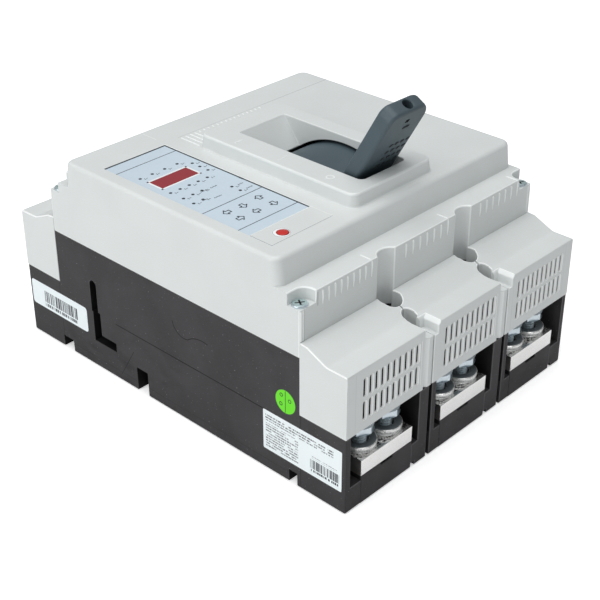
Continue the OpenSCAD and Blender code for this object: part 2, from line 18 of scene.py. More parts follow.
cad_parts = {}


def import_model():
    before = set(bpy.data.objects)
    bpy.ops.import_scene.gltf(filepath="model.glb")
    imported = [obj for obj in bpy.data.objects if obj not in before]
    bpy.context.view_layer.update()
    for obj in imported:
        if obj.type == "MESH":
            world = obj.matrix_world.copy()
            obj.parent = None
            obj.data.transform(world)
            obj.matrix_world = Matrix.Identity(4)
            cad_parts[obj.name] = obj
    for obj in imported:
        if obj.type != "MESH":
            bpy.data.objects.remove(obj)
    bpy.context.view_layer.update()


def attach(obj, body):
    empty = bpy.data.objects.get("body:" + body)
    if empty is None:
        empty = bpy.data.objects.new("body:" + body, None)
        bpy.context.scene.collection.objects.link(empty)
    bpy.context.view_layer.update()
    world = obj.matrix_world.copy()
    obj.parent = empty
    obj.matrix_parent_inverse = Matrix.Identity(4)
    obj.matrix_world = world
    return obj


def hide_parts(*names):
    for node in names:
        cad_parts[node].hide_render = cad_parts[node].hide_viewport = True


LOG = logging.getLogger("breaker")
Obj, Mesh, Tree = bpy.types.Object, bpy.types.Mesh, bpy.types.NodeTree
Node, Socket = bpy.types.Node, bpy.types.NodeSocket
Edge, Face, Vert = bmesh.types.BMEdge, bmesh.types.BMFace, bmesh.types.BMVert
Pair, Triple, Box = Tuple[float, float], Tuple[float, float, float], Tuple[float, float, float, float]
Value = Union[Socket, float, Triple]
Sockets = Dict[str, Socket]
Width = Callable[[Vector, Vector], float]
Test = Callable[[Vector, Vector], bool]

# A millimetre in metres. All lengths below are in millimetres.
MM = 0.001
# Half width and half length of the base, and half length of the cover's end walls.
HALF_W, HALF_L, BODY_END = 105.0, 140.0, 106.0
# Pitch of the poles, heights of the cover's flat top and of the collar.
PITCH, TOP, COLLAR_TOP = 70.0, 140.0, 148.5
# Pivot of the handle, in Y and Z.
PIVOT = (-22.0, 82.0)
# Edges that turn more than this stay sharp, in degrees.
SHARP = 38.0
# Widest rounding, widest strip of a rounded edge that takes a painted highlight, and narrowest face that is shaded
# flat.
WIDEST, HIGHLIGHT_WIDTH, BROAD = 4.0, 0.75, 2.2
SIDES = (-1, 1)


class Body(Enum):
    """The rigid bodies that pieces ride on."""

    BREAKER = "breaker"
    HANDLE = "handle"
    BUTTON = "trip_button"


class End(Enum):
    """The two ends of the breaker, with the turn that brings a load-end piece there."""

    LOAD = 0.0
    LINE = math.pi

    @property
    def word(self) -> str:
        """Name of the end as the nodes have it."""
        return self.name.lower()

    @property
    def turn(self) -> Matrix:
        """Turn from the load end to this end."""
        return Matrix.Rotation(self.value, 4, "Z")


class Pole(Enum):
    """The three poles of the load end, left to right."""

    LEFT = -1
    CENTRE = 0
    RIGHT = 1

    @property
    def word(self) -> str:
        """Name of the pole as the nodes have it."""
        return self.name.lower()

    def seen_at(self, end: End) -> "Pole":
        """Pole of the given end that a load-end piece of this pole is turned to."""
        return Pole(self.value if end is End.LOAD else -self.value)


# ---------------------------------------------------------------- node trees


class Graph:
    """Writes shader nodes into one tree.

    Args:
        tree: The node tree that is written.
    """

    def __init__(self, tree: Tree) -> None:
        """Keeps the tree."""
        self.tree = tree

    def node(self, kind: str, feeds: Optional[Dict[Union[int, str], Value]] = None, **settings: object) -> Node:
        """Adds a node.

        Args:
            kind: Its type, without the common prefix.
            feeds: What its inputs take, by name or number.
            **settings: Its own settings.

        Returns:
            The node.
        """
        made = self.tree.nodes.new("ShaderNode" + kind)
        for key, value in settings.items():
            setattr(made, key, value)
        for key, value in (feeds or {}).items():
            self.feed(made.inputs[key], value)
        return made

    def feed(self, socket: Socket, value: Value) -> None:
        """Links a socket into another, or sets its plain value.

        Args:
            socket: The socket that is fed.
            value: A socket or a plain value.
        """
        if isinstance(value, Socket):
            self.tree.links.new(value, socket)
        else:
            socket.default_value = value

    def math(self, operation: str, *values: Value) -> Socket:
        """Adds a Math node on its values."""
        return self.node("Math", dict(enumerate(values)), operation=operation).outputs[0]

    def times(self, a: Value, b: Value) -> Socket:
        """Multiplies two values."""
        return self.math("MULTIPLY", a, b)

    def vectors(self, operation: str, a: Value, b: Value) -> Socket:
        """Adds a Vector Math node and returns its vector."""
        return self.node("VectorMath", {0: a, 1: b}, operation=operation).outputs[0]

    def split(self, vector: Socket) -> Sequence[Socket]:
        """Returns the three parts of a vector."""
        return tuple(self.node("SeparateXYZ", {0: vector}).outputs)

    def noise(self, vector: Value, scale: Value, detail: float = 2.0, distortion: float = 0.0) -> Socket:
        """Adds a Noise Texture and returns its value."""
        feeds = {"Vector": vector, "Scale": scale, "Detail": detail, "Distortion": distortion}
        return self.node("TexNoise", feeds).outputs["Fac"]

    def between(self, value: Value, low: float, high: float, to_low: float = 0.0, to_high: float = 1.0) -> Socket:
        """Maps low..high of a value to another span, held within it."""
        return self.node("MapRange", dict(enumerate((value, low, high, to_low, to_high))), clamp=True).outputs[0]

    def mixed(self, factor: Value, a: Value, b: Value) -> Socket:
        """Mixes two colours and returns the result."""
        a, b = (part if isinstance(part, Socket) else (*part, 1.0) for part in (a, b))
        return self.node("Mix", {"Factor": factor, 6: a, 7: b}, data_type="RGBA").outputs[2]

    def reach(self, place: Socket, centre: Pair) -> Socket:
        """Distance in Y and Z from a centre given in millimetres.

        Args:
            place: Place on the piece.
            centre: The centre in Y and Z.

        Returns:
            The distance, in metres.
        """
        _, *parts = self.split(place)
        off = [self.math("SUBTRACT", part, c * MM) for part, c in zip(parts, centre)]
        return self.math("SQRT", self.math("ADD", *(self.times(d, d) for d in off)))

    def patch(self, place: Socket, patch: "Region") -> Socket:
        """Returns the mask of a stated region of the part."""
        low, high = (tuple(v * MM for v in corner) for corner in (patch.low, patch.high))
        return self.use(box_region(), Vector=place, Low=low, High=high)["Mask"]

    def use(self, group: Tree, **values: Value) -> Sockets:
        """Places an effect group.

        Args:
            group: The group's tree.
            **values: Its inputs.

        Returns:
            Its outputs by name.
        """
        made = self.node("Group", node_tree=group)
        for key, value in values.items():
            self.feed(made.inputs[key], value)
        return dict(made.outputs.items())


Writer = Callable[[Graph, Sockets], Sockets]


def effect(takes: Dict[str, str], gives: Sequence[str]) -> Callable[[Writer], Callable[[], Tree]]:
    """Makes a shared effect once, as a shader node group named for its writer.

    Args:
        takes: Input names, with their kinds.
        gives: Names of the outputs, which are plain values.

    Returns:
        A decorator for the function that writes the nodes from the inputs.
    """

    def decorate(write: Writer) -> Callable[[], Tree]:
        """Turns the writer into a function that returns the group's tree.

        Args:
            write: Writes the group's nodes between its inputs and outputs.

        Returns:
            The function that returns the tree.
        """

        def group() -> Tree:
            """Returns the tree, written at first use.

            Returns:
                The group's tree.
            """
            name = write.__name__
            if name in bpy.data.node_groups:
                return bpy.data.node_groups[name]
            tree = bpy.data.node_groups.new(name, "ShaderNodeTree")
            for key, kind in takes.items():
                tree.interface.new_socket(key, in_out="INPUT", socket_type="NodeSocket" + kind)
            for key in gives:
                tree.interface.new_socket(key, in_out="OUTPUT", socket_type="NodeSocketFloat")
            source, sink = tree.nodes.new("NodeGroupInput"), tree.nodes.new("NodeGroupOutput")
            graph = Graph(tree)
            for key, socket in write(graph, {s.name: s for s in source.outputs if s.name}).items():
                graph.feed(sink.inputs[key], socket)
            return tree

        return group

    return decorate


@effect({"Vector": "Vector", "Scale": "Float"}, ["Tone", "Height"])
def moulding_grain(g: Graph, i: Sockets) -> Sockets:
    """Fine spark-eroded grain of a moulded surface, with slow tone drift.

    Args:
        g: Writes into the group's tree.
        i: The group's inputs.

    Returns:
        The group's outputs, by name.
    """
    fine = g.noise(i["Vector"], i["Scale"], 3.0)
    slow = g.noise(i["Vector"], g.times(i["Scale"], 0.02), 2.0, 0.6)
    tone = g.math("ADD", g.times(fine, 0.35), g.times(slow, 0.65))
    return {"Tone": g.between(tone, 0.3, 0.7), "Height": fine}


@effect({"Vector": "Vector", "Scale": "Float"}, ["Mask"])
def handling_smudges(g: Graph, i: Sockets) -> Sockets:
    """Pale wiped streaks and dust specks on dark plastic.

    Args:
        g: Writes into the group's tree.
        i: The group's inputs.

    Returns:
        The group's outputs, by name.
    """
    turned = {"Vector": i["Vector"], "Scale": (1.0, 0.45, 1.2), "Rotation": (0.5, 0.2, 0.0)}
    swept = g.node("Mapping", turned).outputs[0]
    streak = g.between(g.noise(swept, i["Scale"], 6.0, 1.6), 0.52, 0.74)
    patch = g.between(g.noise(i["Vector"], g.times(i["Scale"], 0.35), 2.0, 0.4), 0.42, 0.68)
    specks = g.between(g.noise(i["Vector"], g.times(i["Scale"], 30.0), 1.0), 0.74, 0.8)
    return {"Mask": g.math("MAXIMUM", g.times(streak, patch), g.times(specks, 0.5))}


@effect({"Vector": "Vector", "Low": "Vector", "High": "Vector"}, ["Mask"])
def box_region(g: Graph, i: Sockets) -> Sockets:
    """1 inside an axis-aligned region of the part and 0 outside it.

    Args:
        g: Writes into the group's tree.
        i: The group's inputs.

    Returns:
        The group's outputs, by name.
    """
    above = g.vectors("SUBTRACT", i["Vector"], i["Low"])
    below = g.vectors("SUBTRACT", i["High"], i["Vector"])
    x, y, z = (g.between(p, 0.0, 0.00012) for p in g.split(g.vectors("MINIMUM", above, below)))
    return {"Mask": g.times(g.times(x, y), z)}


@effect({"Vector": "Vector", "Stretch": "Vector"}, ["Lines", "Cloud"])
def drawn_metal(g: Graph, i: Sockets) -> Sockets:
    """Fine parallel lines of rolled or brushed metal, drawn along one axis."""
    lines = g.noise(g.vectors("MULTIPLY", i["Vector"], i["Stretch"]), 1.0, 4.0)
    return {"Lines": lines, "Cloud": g.between(g.noise(i["Vector"], 90.0, 3.0, 0.8), 0.3, 0.7)}


@effect({"Along": "Float", "Down": "Float", "Row": "Float"}, ["Mask"])
def ruled_rows(g: Graph, i: Sockets) -> Sockets:
    """Rows of short dashes, as small print looks when it can't be read.

    Args:
        g: Writes into the group's tree.
        i: The group's inputs.

    Returns:
        The group's outputs, by name.
    """
    row = g.math("DIVIDE", i["Down"], i["Row"])
    band = g.math("ABSOLUTE", g.math("SUBTRACT", g.math("FRACT", row), 0.5))
    along, line = g.math("DIVIDE", i["Along"], i["Row"]), g.times(g.math("FLOOR", row), 7.31)
    place = g.node("CombineXYZ", {0: along, 1: line}).outputs[0]
    letters, words = g.between(g.noise(place, 2.6, 1.0), 0.42, 0.5), g.between(g.noise(place, 0.34, 0.0), 0.36, 0.4)
    return {"Mask": g.times(g.times(letters, words), g.between(band, 0.3, 0.22))}


# ------------------------------------------------------------------ finishes


def shade(colour: Triple, factor: float) -> Triple:
    """A lighter or darker shade of a colour."""
    return tuple(min(1.0, c * factor) for c in colour)


@dataclass(frozen=True)
class Region:
    """A line or patch of a surface: a seam, a print field, the span of an arc, specks of painted reflection, or painted
    shade or light in a groove, a recess or beside a relief.

    Args:
        low: Lowest corner, in millimetres.
        high: Highest corner, in millimetres.
        depth: How dark it is, from 0 to 1, or lighter if below 0.
    """

    low: Triple
    high: Triple
    depth: float = 0.6


@dataclass(frozen=True)
class Arc:
    """A thin arc scribed on the side faces.

    Args:
        centre: Its centre in Y and Z, in millimetres.
        radius: Its radius.
        span: Part of the side that it shows in.
        width: Width of the line.
    """

    centre: Pair
    radius: float
    span: Region
    width: float = 0.7

    def mask(self, g: Graph, place: Socket) -> Socket:
        """Returns the mask of the arc."""
        off = g.math("ABSOLUTE", g.math("SUBTRACT", g.reach(place, self.centre), self.radius * MM))
        return g.times(g.between(off, self.width * 0.0003, self.width * 0.0006, 1.0, 0.0), g.patch(place, self.span))


@dataclass(frozen=True)
class Finish:
    """A surface finish. Its material is made once and shared."""

    name: str
    slot: str
    colour: Triple
    roughness: float

    def material(self) -> bpy.types.Material:
        """Returns the finish's material, made at first use.

        Returns:
            The material.
        """
        if self.name in bpy.data.materials:
            return bpy.data.materials[self.name]
        made = bpy.data.materials.new(self.name)
        made.use_nodes = True
        graph, shader = Graph(made.node_tree), made.node_tree.nodes["Principled BSDF"]
        shader.inputs["Roughness"].default_value = self.roughness
        made.diffuse_color = shader.inputs["Base Color"].default_value = (*self.colour, 1.0)
        self.paint(graph, shader, graph.node("TexCoord").outputs["Object"])
        return made

    def paint(self, g: Graph, shader: Node, place: Socket) -> None:
        """Writes the finish's own nodes; a plain finish has only a faint grain."""
        g.feed(shader.inputs["Base Color"], self.grained(g, place, 900.0, 0.9, 1.0)[0])

    def grained(self, g: Graph, place: Socket, scale: float, low: float, high: float) -> Sequence[Socket]:
        """Returns the colour drifting between two shades with the moulding's grain, and the grain's height."""
        grain = g.use(moulding_grain(), Vector=place, Scale=scale)
        return g.mixed(grain["Tone"], shade(self.colour, low), shade(self.colour, high)), grain["Height"]

    def bump(self, g: Graph, shader: Node, height: Socket, strength: float, distance: float) -> None:
        """Feeds a height to the shader's normal."""
        made = g.node("Bump", {"Strength": strength, "Distance": distance, "Height": height})
        g.feed(shader.inputs["Normal"], made.outputs[0])


@dataclass(frozen=True)
class Moulding(Finish):
    """Moulded plastic with a fine grain, smudges, dust, arcs, seam lines, and lines and patches of painted shade and
    light.
    """

    grain: float = 1400.0
    tone: float = 0.05
    relief: float = 0.12
    shine: float = 0.5
    smudge: float = 0.0
    smudge_colour: Triple = (0.5, 0.5, 0.5)
    dust: float = 0.0
    grooves: Tuple[Region, ...] = ()
    arcs: Tuple[Arc, ...] = ()

    def paint(self, g: Graph, shader: Node, place: Socket) -> None:
        """Writes grain, smudges, dust, seam lines, painted shade and light, and arcs.

        Args:
            g: Writes into the material's tree.
            shader: Its main shader.
            place: Place on the piece.
        """
        colour, fine = self.grained(g, place, self.grain, 1 - self.tone, 1 + self.tone)
        height = g.times(fine, 0.12)
        if self.smudge:
            mask = g.use(handling_smudges(), Vector=place, Scale=26.0)["Mask"]
            colour = g.mixed(g.times(mask, self.smudge), colour, self.smudge_colour)
            rougher = min(1.0, self.roughness + 0.2)
            g.feed(shader.inputs["Roughness"], g.between(mask, 0.0, 1.0, self.roughness, rougher))
        if self.dust:
            fine = g.between(g.noise(place, 800.0, 1.0), 0.72, 0.76)
            haze = g.between(g.noise(place, 18.0, 4.0, 1.2), 0.45, 0.75)
            colour = g.mixed(g.times(fine, self.dust), colour, shade(self.colour, 7))
            colour = g.mixed(g.times(haze, self.dust * 0.6), colour, shade(self.colour, 2))
        # Seams, and painted shade and light in grooves, recesses and beside reliefs, darken or lighten the colour and
        # dip the bump.
        for painted_region in self.grooves:
            mask = g.patch(place, painted_region)
            colour = g.mixed(mask, colour, shade(self.colour, 1 - painted_region.depth))
            height = g.math("SUBTRACT", height, mask)
        for arc in self.arcs:
            colour = g.mixed(arc.mask(g, place), colour, shade(self.colour, 1 - arc.span.depth))
        g.feed(shader.inputs["Base Color"], colour)
        shader.inputs["Specular IOR Level"].default_value = self.shine
        self.bump(g, shader, height, self.relief, 0.0003)


@dataclass(frozen=True)
class CoverPlastic(Moulding):
    """Cover plastic with painted shade over the hollow round the handle's shield."""

    hollow_r: float = 61.6
    hollow_x: Pair = (-26.3, 35.3)
    hollow_colour: Triple = (0.015, 0.015, 0.016)

    def paint(self, g: Graph, shader: Node, place: Socket) -> None:
        """Writes the moulding and paints shade over the hollow round the pivot.

        Args:
            g: Writes into the material's tree.
            shader: Its main shader.
            place: Place on the piece.
        """
        super().paint(g, shader, place)
        link = shader.inputs["Base Color"].links[0]
        across = g.split(place)[0]
        ends = zip(("LESS_THAN", "GREATER_THAN"), self.hollow_x)
        low, high = (g.math(test, across, x * MM) for test, x in ends)
        # Inside the hollow the colour becomes near-black painted shade.
        lit = g.between(g.reach(place, PIVOT), self.hollow_r * MM - 0.0002, self.hollow_r * MM + 0.0002)
        lit = g.math("MAXIMUM", lit, g.math("MAXIMUM", low, high))
        colour = link.from_socket
        g.tree.links.remove(link)
        g.feed(shader.inputs["Base Color"], g.mixed(lit, self.hollow_colour, colour))


@dataclass(frozen=True)
class Plated(Finish):
    """Plated metal with drawn lines, a cloudy plating and dark specks of painted reflection."""

    cloudy: float = 0.25
    tint: Triple = (0.5, 0.5, 0.5)
    metallic: float = 1.0
    stretch: Triple = (300.0, 300.0, 300.0)
    specks: Tuple[Region, ...] = ()

    def paint(self, g: Graph, shader: Node, place: Socket) -> None:
        """Writes the plating's clouds, lines and specks of painted reflection.

        Args:
            g: Writes into the material's tree.
            shader: Its main shader.
            place: Place on the piece.
        """
        shader.inputs["Metallic"].default_value = self.metallic
        drawn = g.use(drawn_metal(), Vector=place, Stretch=self.stretch)
        colour = g.mixed(g.times(drawn["Cloud"], self.cloudy), self.colour, self.tint)
        for patch in self.specks:
            spots = g.times(g.patch(place, patch), g.between(g.noise(place, 620.0, 2.0, 0.6), 0.5, 0.56))
            colour = g.mixed(g.times(spots, patch.depth), colour, (0.02, 0.02, 0.02))
        g.feed(shader.inputs["Base Color"], colour)
        rough = g.between(drawn["Lines"], 0.3, 0.7, self.roughness - 0.08, self.roughness + 0.1)
        g.feed(shader.inputs["Roughness"], rough)
        self.bump(g, shader, drawn["Lines"], 0.12, 0.0001)


@dataclass(frozen=True)
class Printed(Finish):
    """White label stock with rows of small print in stated fields.

    Args:
        fields: Printed fields in the label's plane.
        row: Height of one row of print, in millimetres.
        ink: Colour of the print.
    """

    fields: Tuple[Region, ...] = ()
    row: float = 1.75
    ink: Triple = (0.03, 0.03, 0.035)

    def paint(self, g: Graph, shader: Node, place: Socket) -> None:
        """Writes the stock and its rows of print.

        Args:
            g: Writes into the material's tree.
            shader: Its main shader.
            place: Place on the piece.
        """
        colour, _ = self.grained(g, place, 700.0, 0.97, 1.0)
        _, along, up = g.split(place)
        rows = g.use(ruled_rows(), Along=along, Down=up, Row=self.row * MM)["Mask"]
        for patch in self.fields:
            colour = g.mixed(g.times(g.times(g.patch(place, patch), rows), patch.depth), colour, self.ink)
        g.feed(shader.inputs["Base Color"], colour)


@dataclass(frozen=True)
class Paper(Finish):
    """Plain pale paper of the studio floor, which glows a little where the camera sees it."""

    glow: float = 0.45

    def paint(self, g: Graph, shader: Node, place: Socket) -> None:
        """Writes a fibre grain too fine to see as a pattern.

        Args:
            g: Writes into the material's tree.
            shader: Its main shader.
            place: Place on the piece.
        """
        fibre = g.between(g.noise(place, 2500.0, 2.0), 0.3, 0.7)
        g.feed(shader.inputs["Base Color"], g.mixed(fibre, shade(self.colour, 0.985), self.colour))
        seen = g.node("LightPath").outputs["Is Camera Ray"]
        g.feed(shader.inputs["Emission Color"], g.mixed(seen, (0.0,) * 3, (1.0,) * 3))
        shader.inputs["Emission Strength"].default_value = self.glow
        shader.inputs["Specular IOR Level"].default_value = 0.0


def side_line(
    z0: float, z1: float, y0: float, y1: float, depth: float, x0: float = 103.5, x1: float = 106
) -> Tuple[Region, ...]:
    """A seam, or a line or patch of painted shade, on both side faces of the body."""
    return tuple(Region((min(s * x0, s * x1), y0, z0), (max(s * x0, s * x1), y1, z1), depth) for s in SIDES)


def grey(name: str, colour: Triple, roughness: float, kind: type = Moulding, **values: object) -> Moulding:
    """A grained plastic of the cover's slot."""
    return kind(name, "cover_grey", colour, roughness, **{"grain": 1500.0, "tone": 0.02, "relief": 0.05, **values})


BASE_BLACK = Moulding(
    "base_black_plastic", "base_black", (0.040, 0.038, 0.040), 0.55, grain=1100.0, tone=0.16, relief=0.2, shine=0.22,
    smudge=0.85, smudge_colour=(0.014, 0.013, 0.014), dust=0.5,
    # The dark lines on the sides are seams at the end blocks and painted shade in a groove and under a low step; the
    # patch just inside the side faces, which shows in their notches, and the patches in the terminal bays are painted
    # shade.
    grooves=side_line(40.4, 41.3, -78, 51, 0.85) + side_line(6.2, 6.7, -97, 96, 0.4)
    + side_line(0, 76, -110, 110, 0.8, 95, 104.6)
    + side_line(0, 50, 106.4, 107.1, 0.5) + side_line(0, 50, -107.1, -106.4, 0.5)
    + tuple(Region((-100.8, y - 16.4, 16.1), (100.8, y + 16.4, 88), 0.62) for y in (-123, 123)),
    arcs=(
        Arc((-13.2, 68.5), 10.0, Region((-106, -16.2, 50), (106, -3.0, 67), 0.85)),
        Arc((-29.0, 43.5), 20.0, Region((-106, -33.5, 55), (106, -16.0, 66), 0.85)),
        Arc((940.0, 560.0), 1050.0, Region((-106, 33.4, 1), (106, 48.8, 27.4), 0.7), 0.5),
    ),
)
# A lighter copy of the base black on its rounded edges: painted highlight.
BASE_HIGHLIGHT = Moulding("base_rim_plastic", "base_black", (0.085, 0.083, 0.086), 0.45, tone=0.1)
# Near-black sheets behind the vent slots and in the screws' cross recesses: painted shade.
SHADE_BLACK = Finish("vent_dark_plastic", "base_black", (0.012, 0.012, 0.012), 0.8)
GREY = (0.69, 0.72, 0.71)
COVER_GREY = grey(
    "cover_grey_plastic", GREY, 0.42, tone=0.025, relief=0.1,
    # The dark lines on the covers' fronts are painted shade in grooves near the vent fields' edges.
    grooves=tuple(Region((x, -140.4, 50), (x + 0.4, -139.8, 88.6), 0.14) for x in (-98.2, -43.9, 43.0, 97.7)),
)
# A near-white copy of the cover grey on the terminal covers' and grilles' rounded edges and slot walls: painted
# highlight.
COVER_EDGE_HIGHLIGHT = grey("cover_edge_plastic", (0.95, 0.97, 0.96), 0.38)
# A paler copy of the cover grey on the cover's rounded edges, grip ridges, wall ribs, ledge walls and post flanks:
# painted highlight.
COVER_HIGHLIGHT = grey("cover_rim_plastic", (0.86, 0.89, 0.88), 0.36)
COVER_BODY = grey(
    "cover_body_plastic", GREY, 0.42, CoverPlastic, tone=0.025, relief=0.1,
    grooves=(
        # The lines on the top follow the accessory lid's outline; the dark lines on the load end wall, beside a corner
        # bead and beside the first rib, are painted shade.
        Region((40, 64.7, 139.5), (104, 65.2, 140.5), 0.45), Region((-34.5, 64.7, 139.5), (40, 65.2, 140.5), 0.3),
        Region((-45.9, 72.7, 139.5), (-45.3, 85, 140.5), -0.2),
        Region((-101.4, -106.5, 96), (-101.0, -105.9, 116), 0.3),
        Region((-91.3, -106.5, 113.5), (-90.5, -105.9, 122), 0.4),
    ),
)
# A paler copy of the cover grey on the collar's brow: painted highlight.
COLLAR_HIGHLIGHT = grey("collar_rim_plastic", (0.76, 0.79, 0.78), 0.4)
# A paler copy of the cover grey on the raised marks: painted highlight.
MARK_HIGHLIGHT = Moulding("raised_mark_plastic", "cover_grey", (0.84, 0.87, 0.86), 0.4, tone=0.02)
PANEL_FILM = Moulding("panel_film", "panel_blue", (0.59, 0.695, 0.775), 0.35, grain=400.0, tone=0.03, relief=0.03)
PANEL_INK = Finish("panel_ink", "panel_blue", (0.03, 0.036, 0.045), 0.5)
PANEL_WHITE = Finish("panel_white_print", "panel_blue", (0.94, 0.96, 0.97), 0.4)
SEAM = Finish("cover_seam", "cover_grey", (0.36, 0.38, 0.385), 0.6)
WINDOW_RED = Moulding("display_filter", "window_red", (0.30, 0.028, 0.036), 0.18, grain=300.0, tone=0.12, relief=0.02)
BUTTON_RED = Moulding("button_red_plastic", "button_red", (0.56, 0.028, 0.022), 0.25, tone=0.06)
LEVER_GREY = Moulding("lever_grey_plastic", "lever_grey", (0.061, 0.091, 0.107), 0.5, 1300.0, tone=0.12, relief=0.3)
LEVER_SLOT = Finish("lever_slot_shadow", "lever_grey", (0.008, 0.009, 0.01), 0.8)
LEVER_FACE = Moulding("lever_mark_plastic", "lever_grey", (0.03, 0.036, 0.04), 0.62, 900.0, tone=0.2, relief=0.3)
TIN_BAR = Plated(
    "tinned_copper", "tinned_bar", (0.97, 0.965, 0.95), 0.16, 0.25, (0.87, 0.86, 0.83), 0.9, (60.0, 900.0, 900.0),
    # Dark specks on the bars' tops are a painted reflection.
    tuple(Region((-100, y - 15, 28.9), (100, y + 15, 29.6), 0.9) for y in (-123.0, 123.0)),
)
# Near black on the bars' end faces: painted dark reflection.
BAR_END_REFLECTION = Plated("sawn_bar_end", "tinned_bar", (0.07, 0.066, 0.064), 0.55, 0.5, (0.16, 0.155, 0.15), 0.2)
ZINC = Plated("blue_zinc", "zinc_steel", (0.70, 0.78, 0.82), 0.32, 0.35, (0.48, 0.58, 0.64), 0.85)
SHANK = Plated("threaded_zinc", "zinc_steel", (0.66, 0.76, 0.80), 0.26, 0.4, (0.42, 0.52, 0.56), 0.45)
# A darker, greener copy of the zinc on the screws' dishes: painted reflection.
DISH_REFLECTION = Plated("dished_zinc", "zinc_steel", (0.52, 0.64, 0.64), 0.36, 0.5, (0.30, 0.40, 0.41), 0.5)
# A pale copy of the washers' steel on the flat washers' sides and on the spring washers: painted highlight.
STEEL_HIGHLIGHT = Plated(
    "bright_washer_steel", "zinc_steel", (0.93, 0.94, 0.92), 0.28, 0.6, (0.50, 0.50, 0.49), 0.55, (420.0, 420.0, 420.0)
)
# A dark copy of the zinc on the downward thread flanks: painted shade.
THREAD_SHADE = Plated("thread_flank_zinc", "zinc_steel", (0.12, 0.17, 0.19), 0.4, 0.4, (0.06, 0.09, 0.1), 0.5)
DULL = Plated("dark_washer_steel", "washer_steel", (0.27, 0.30, 0.315), 0.45, 0.4, (0.19, 0.21, 0.22), 0.5)
STICKER_GREEN = Finish("sticker_green", "base_black", (0.14, 0.78, 0.0), 0.45)
STICKER_INK = Finish("sticker_ink", "base_black", (0.02, 0.09, 0.01), 0.5)
FLOOR_WHITE = Paper("floor_paper", "cover_grey", (0.95, 0.95, 0.95), 1.0)
LABEL_WHITE = Printed("label_stock", "base_black", (0.86, 0.93, 0.95), 0.45)
LABEL_PRINT = Printed(
    "printed_label_stock", "base_black", (0.87, 0.935, 0.95), 0.45,
    (
        Region((-106, -131, 33.8), (-104, -79.5, 39.0), 0.97), Region((-106, -105, 15.6), (-104, -79.8, 32.4), 0.85),
        Region((-106, -134, 25.6), (-104, -115, 27.2), 0.85),
    ),
)


# --------------------------------------------------------------------- pieces


def near(value: float, target: float, slack: float = 0.2) -> bool:
    """Whether a value is at a target."""
    return abs(value - target) < slack


def linked(name: str, data: bpy.types.ID) -> Obj:
    """Makes an object of some data and links it to the scene.

    Args:
        name: Name of the object.
        data: Its mesh, lamp or camera.

    Returns:
        The object.
    """
    made = bpy.data.objects.new(name, data)
    bpy.context.scene.collection.objects.link(made)
    return made


def baked(made: Obj, cutters: Sequence[Obj] = ()) -> Mesh:
    """Applies an object's modifiers, after other objects are cut out of it.

    Args:
        made: The object, which loses its modifiers.
        cutters: The shapes that are taken away.

    Returns:
        A new mesh.
    """
    for cutter in cutters:
        cut = made.modifiers.new("cut", "BOOLEAN")
        cut.operation, cut.solver, cut.object, cut.use_self = "DIFFERENCE", "EXACT", cutter, True
    bpy.context.view_layer.update()
    mesh = bpy.data.meshes.new_from_object(made.evaluated_get(bpy.context.evaluated_depsgraph_get()))
    made.modifiers.clear()
    return mesh


def carve(made: Obj, cutter: Obj) -> None:
    """Cuts a shape out of a finished piece and removes the cutter.

    Args:
        made: The piece that is cut.
        cutter: The shape that is taken away.
    """
    made.data = baked(made, [cutter])
    made.data.shade_smooth()
    made.data.set_sharp_from_angle(angle=math.radians(SHARP))
    bpy.data.objects.remove(cutter)


def tint(made: Obj, finish: Finish, test: Test) -> None:
    """Gives a further finish to the faces that a test picks by middle and normal.

    Args:
        made: The piece.
        finish: The further finish.
        test: Whether a face gets it, from its middle and normal.
    """
    made.data.materials.append(finish.material())
    for face in made.data.polygons:
        if test(face.center, face.normal):
            face.material_index = len(made.data.materials) - 1


def settle(
    name: str, mesh: Mesh, finish: Finish, body: Body, angle: float, replaces: Sequence[str],
    rim: Optional[Finish] = None,
) -> Obj:
    """Links a finished mesh as a piece of the object.

    Args:
        name: Name of the piece.
        mesh: Its mesh, in metres.
        finish: Its finish.
        body: Body that it moves with.
        angle: Edges sharper than this stay sharp, in degrees; 0 keeps the mesh's own.
        replaces: CAD nodes that it stands for.
        rim: Finish of its faces with material index 1, a paler painted highlight, if it differs.

    Returns:
        The object.
    """
    picked = [int(p.material_index > 0) for p in mesh.polygons]
    if angle:
        mesh.shade_smooth()
        mesh.set_sharp_from_angle(angle=math.radians(angle))
    made = linked(name, mesh)
    mesh.materials.clear()
    mesh.materials.append(finish.material())
    if rim:
        mesh.materials.append(rim.material())
        mesh.polygons.foreach_set("material_index", picked)
    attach(made, body.value)
    if replaces:
        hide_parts(*replaces)
    return made


def level_faces(made: Obj) -> Mesh:
    """Shades an object's broad faces flat and its rounded edges smoothly.

    Args:
        made: An object whose edges are rounded.

    Returns:
        A new mesh with those normals.
    """
    bm = bmesh.new()
    bm.from_mesh(made.data)
    bm.normal_update()
    broad = {f for f in bm.faces if f.calc_area() > BROAD * MM * max(e.calc_length() for e in f.edges)}
    for face in bm.faces:
        face.smooth = True
    for edge in bm.edges:
        turn = edge.calc_face_angle(0) if len(edge.link_faces) == 2 else 0
        edge.smooth = turn < math.radians(SHARP) and not (turn > 0.02 and broad.issuperset(edge.link_faces))
    bm.to_mesh(made.data)
    bm.free()
    weigh = made.modifiers.new("weigh", "WEIGHTED_NORMAL")
    weigh.mode, weigh.weight, weigh.keep_sharp = "FACE_AREA", 95, True
    return baked(made)


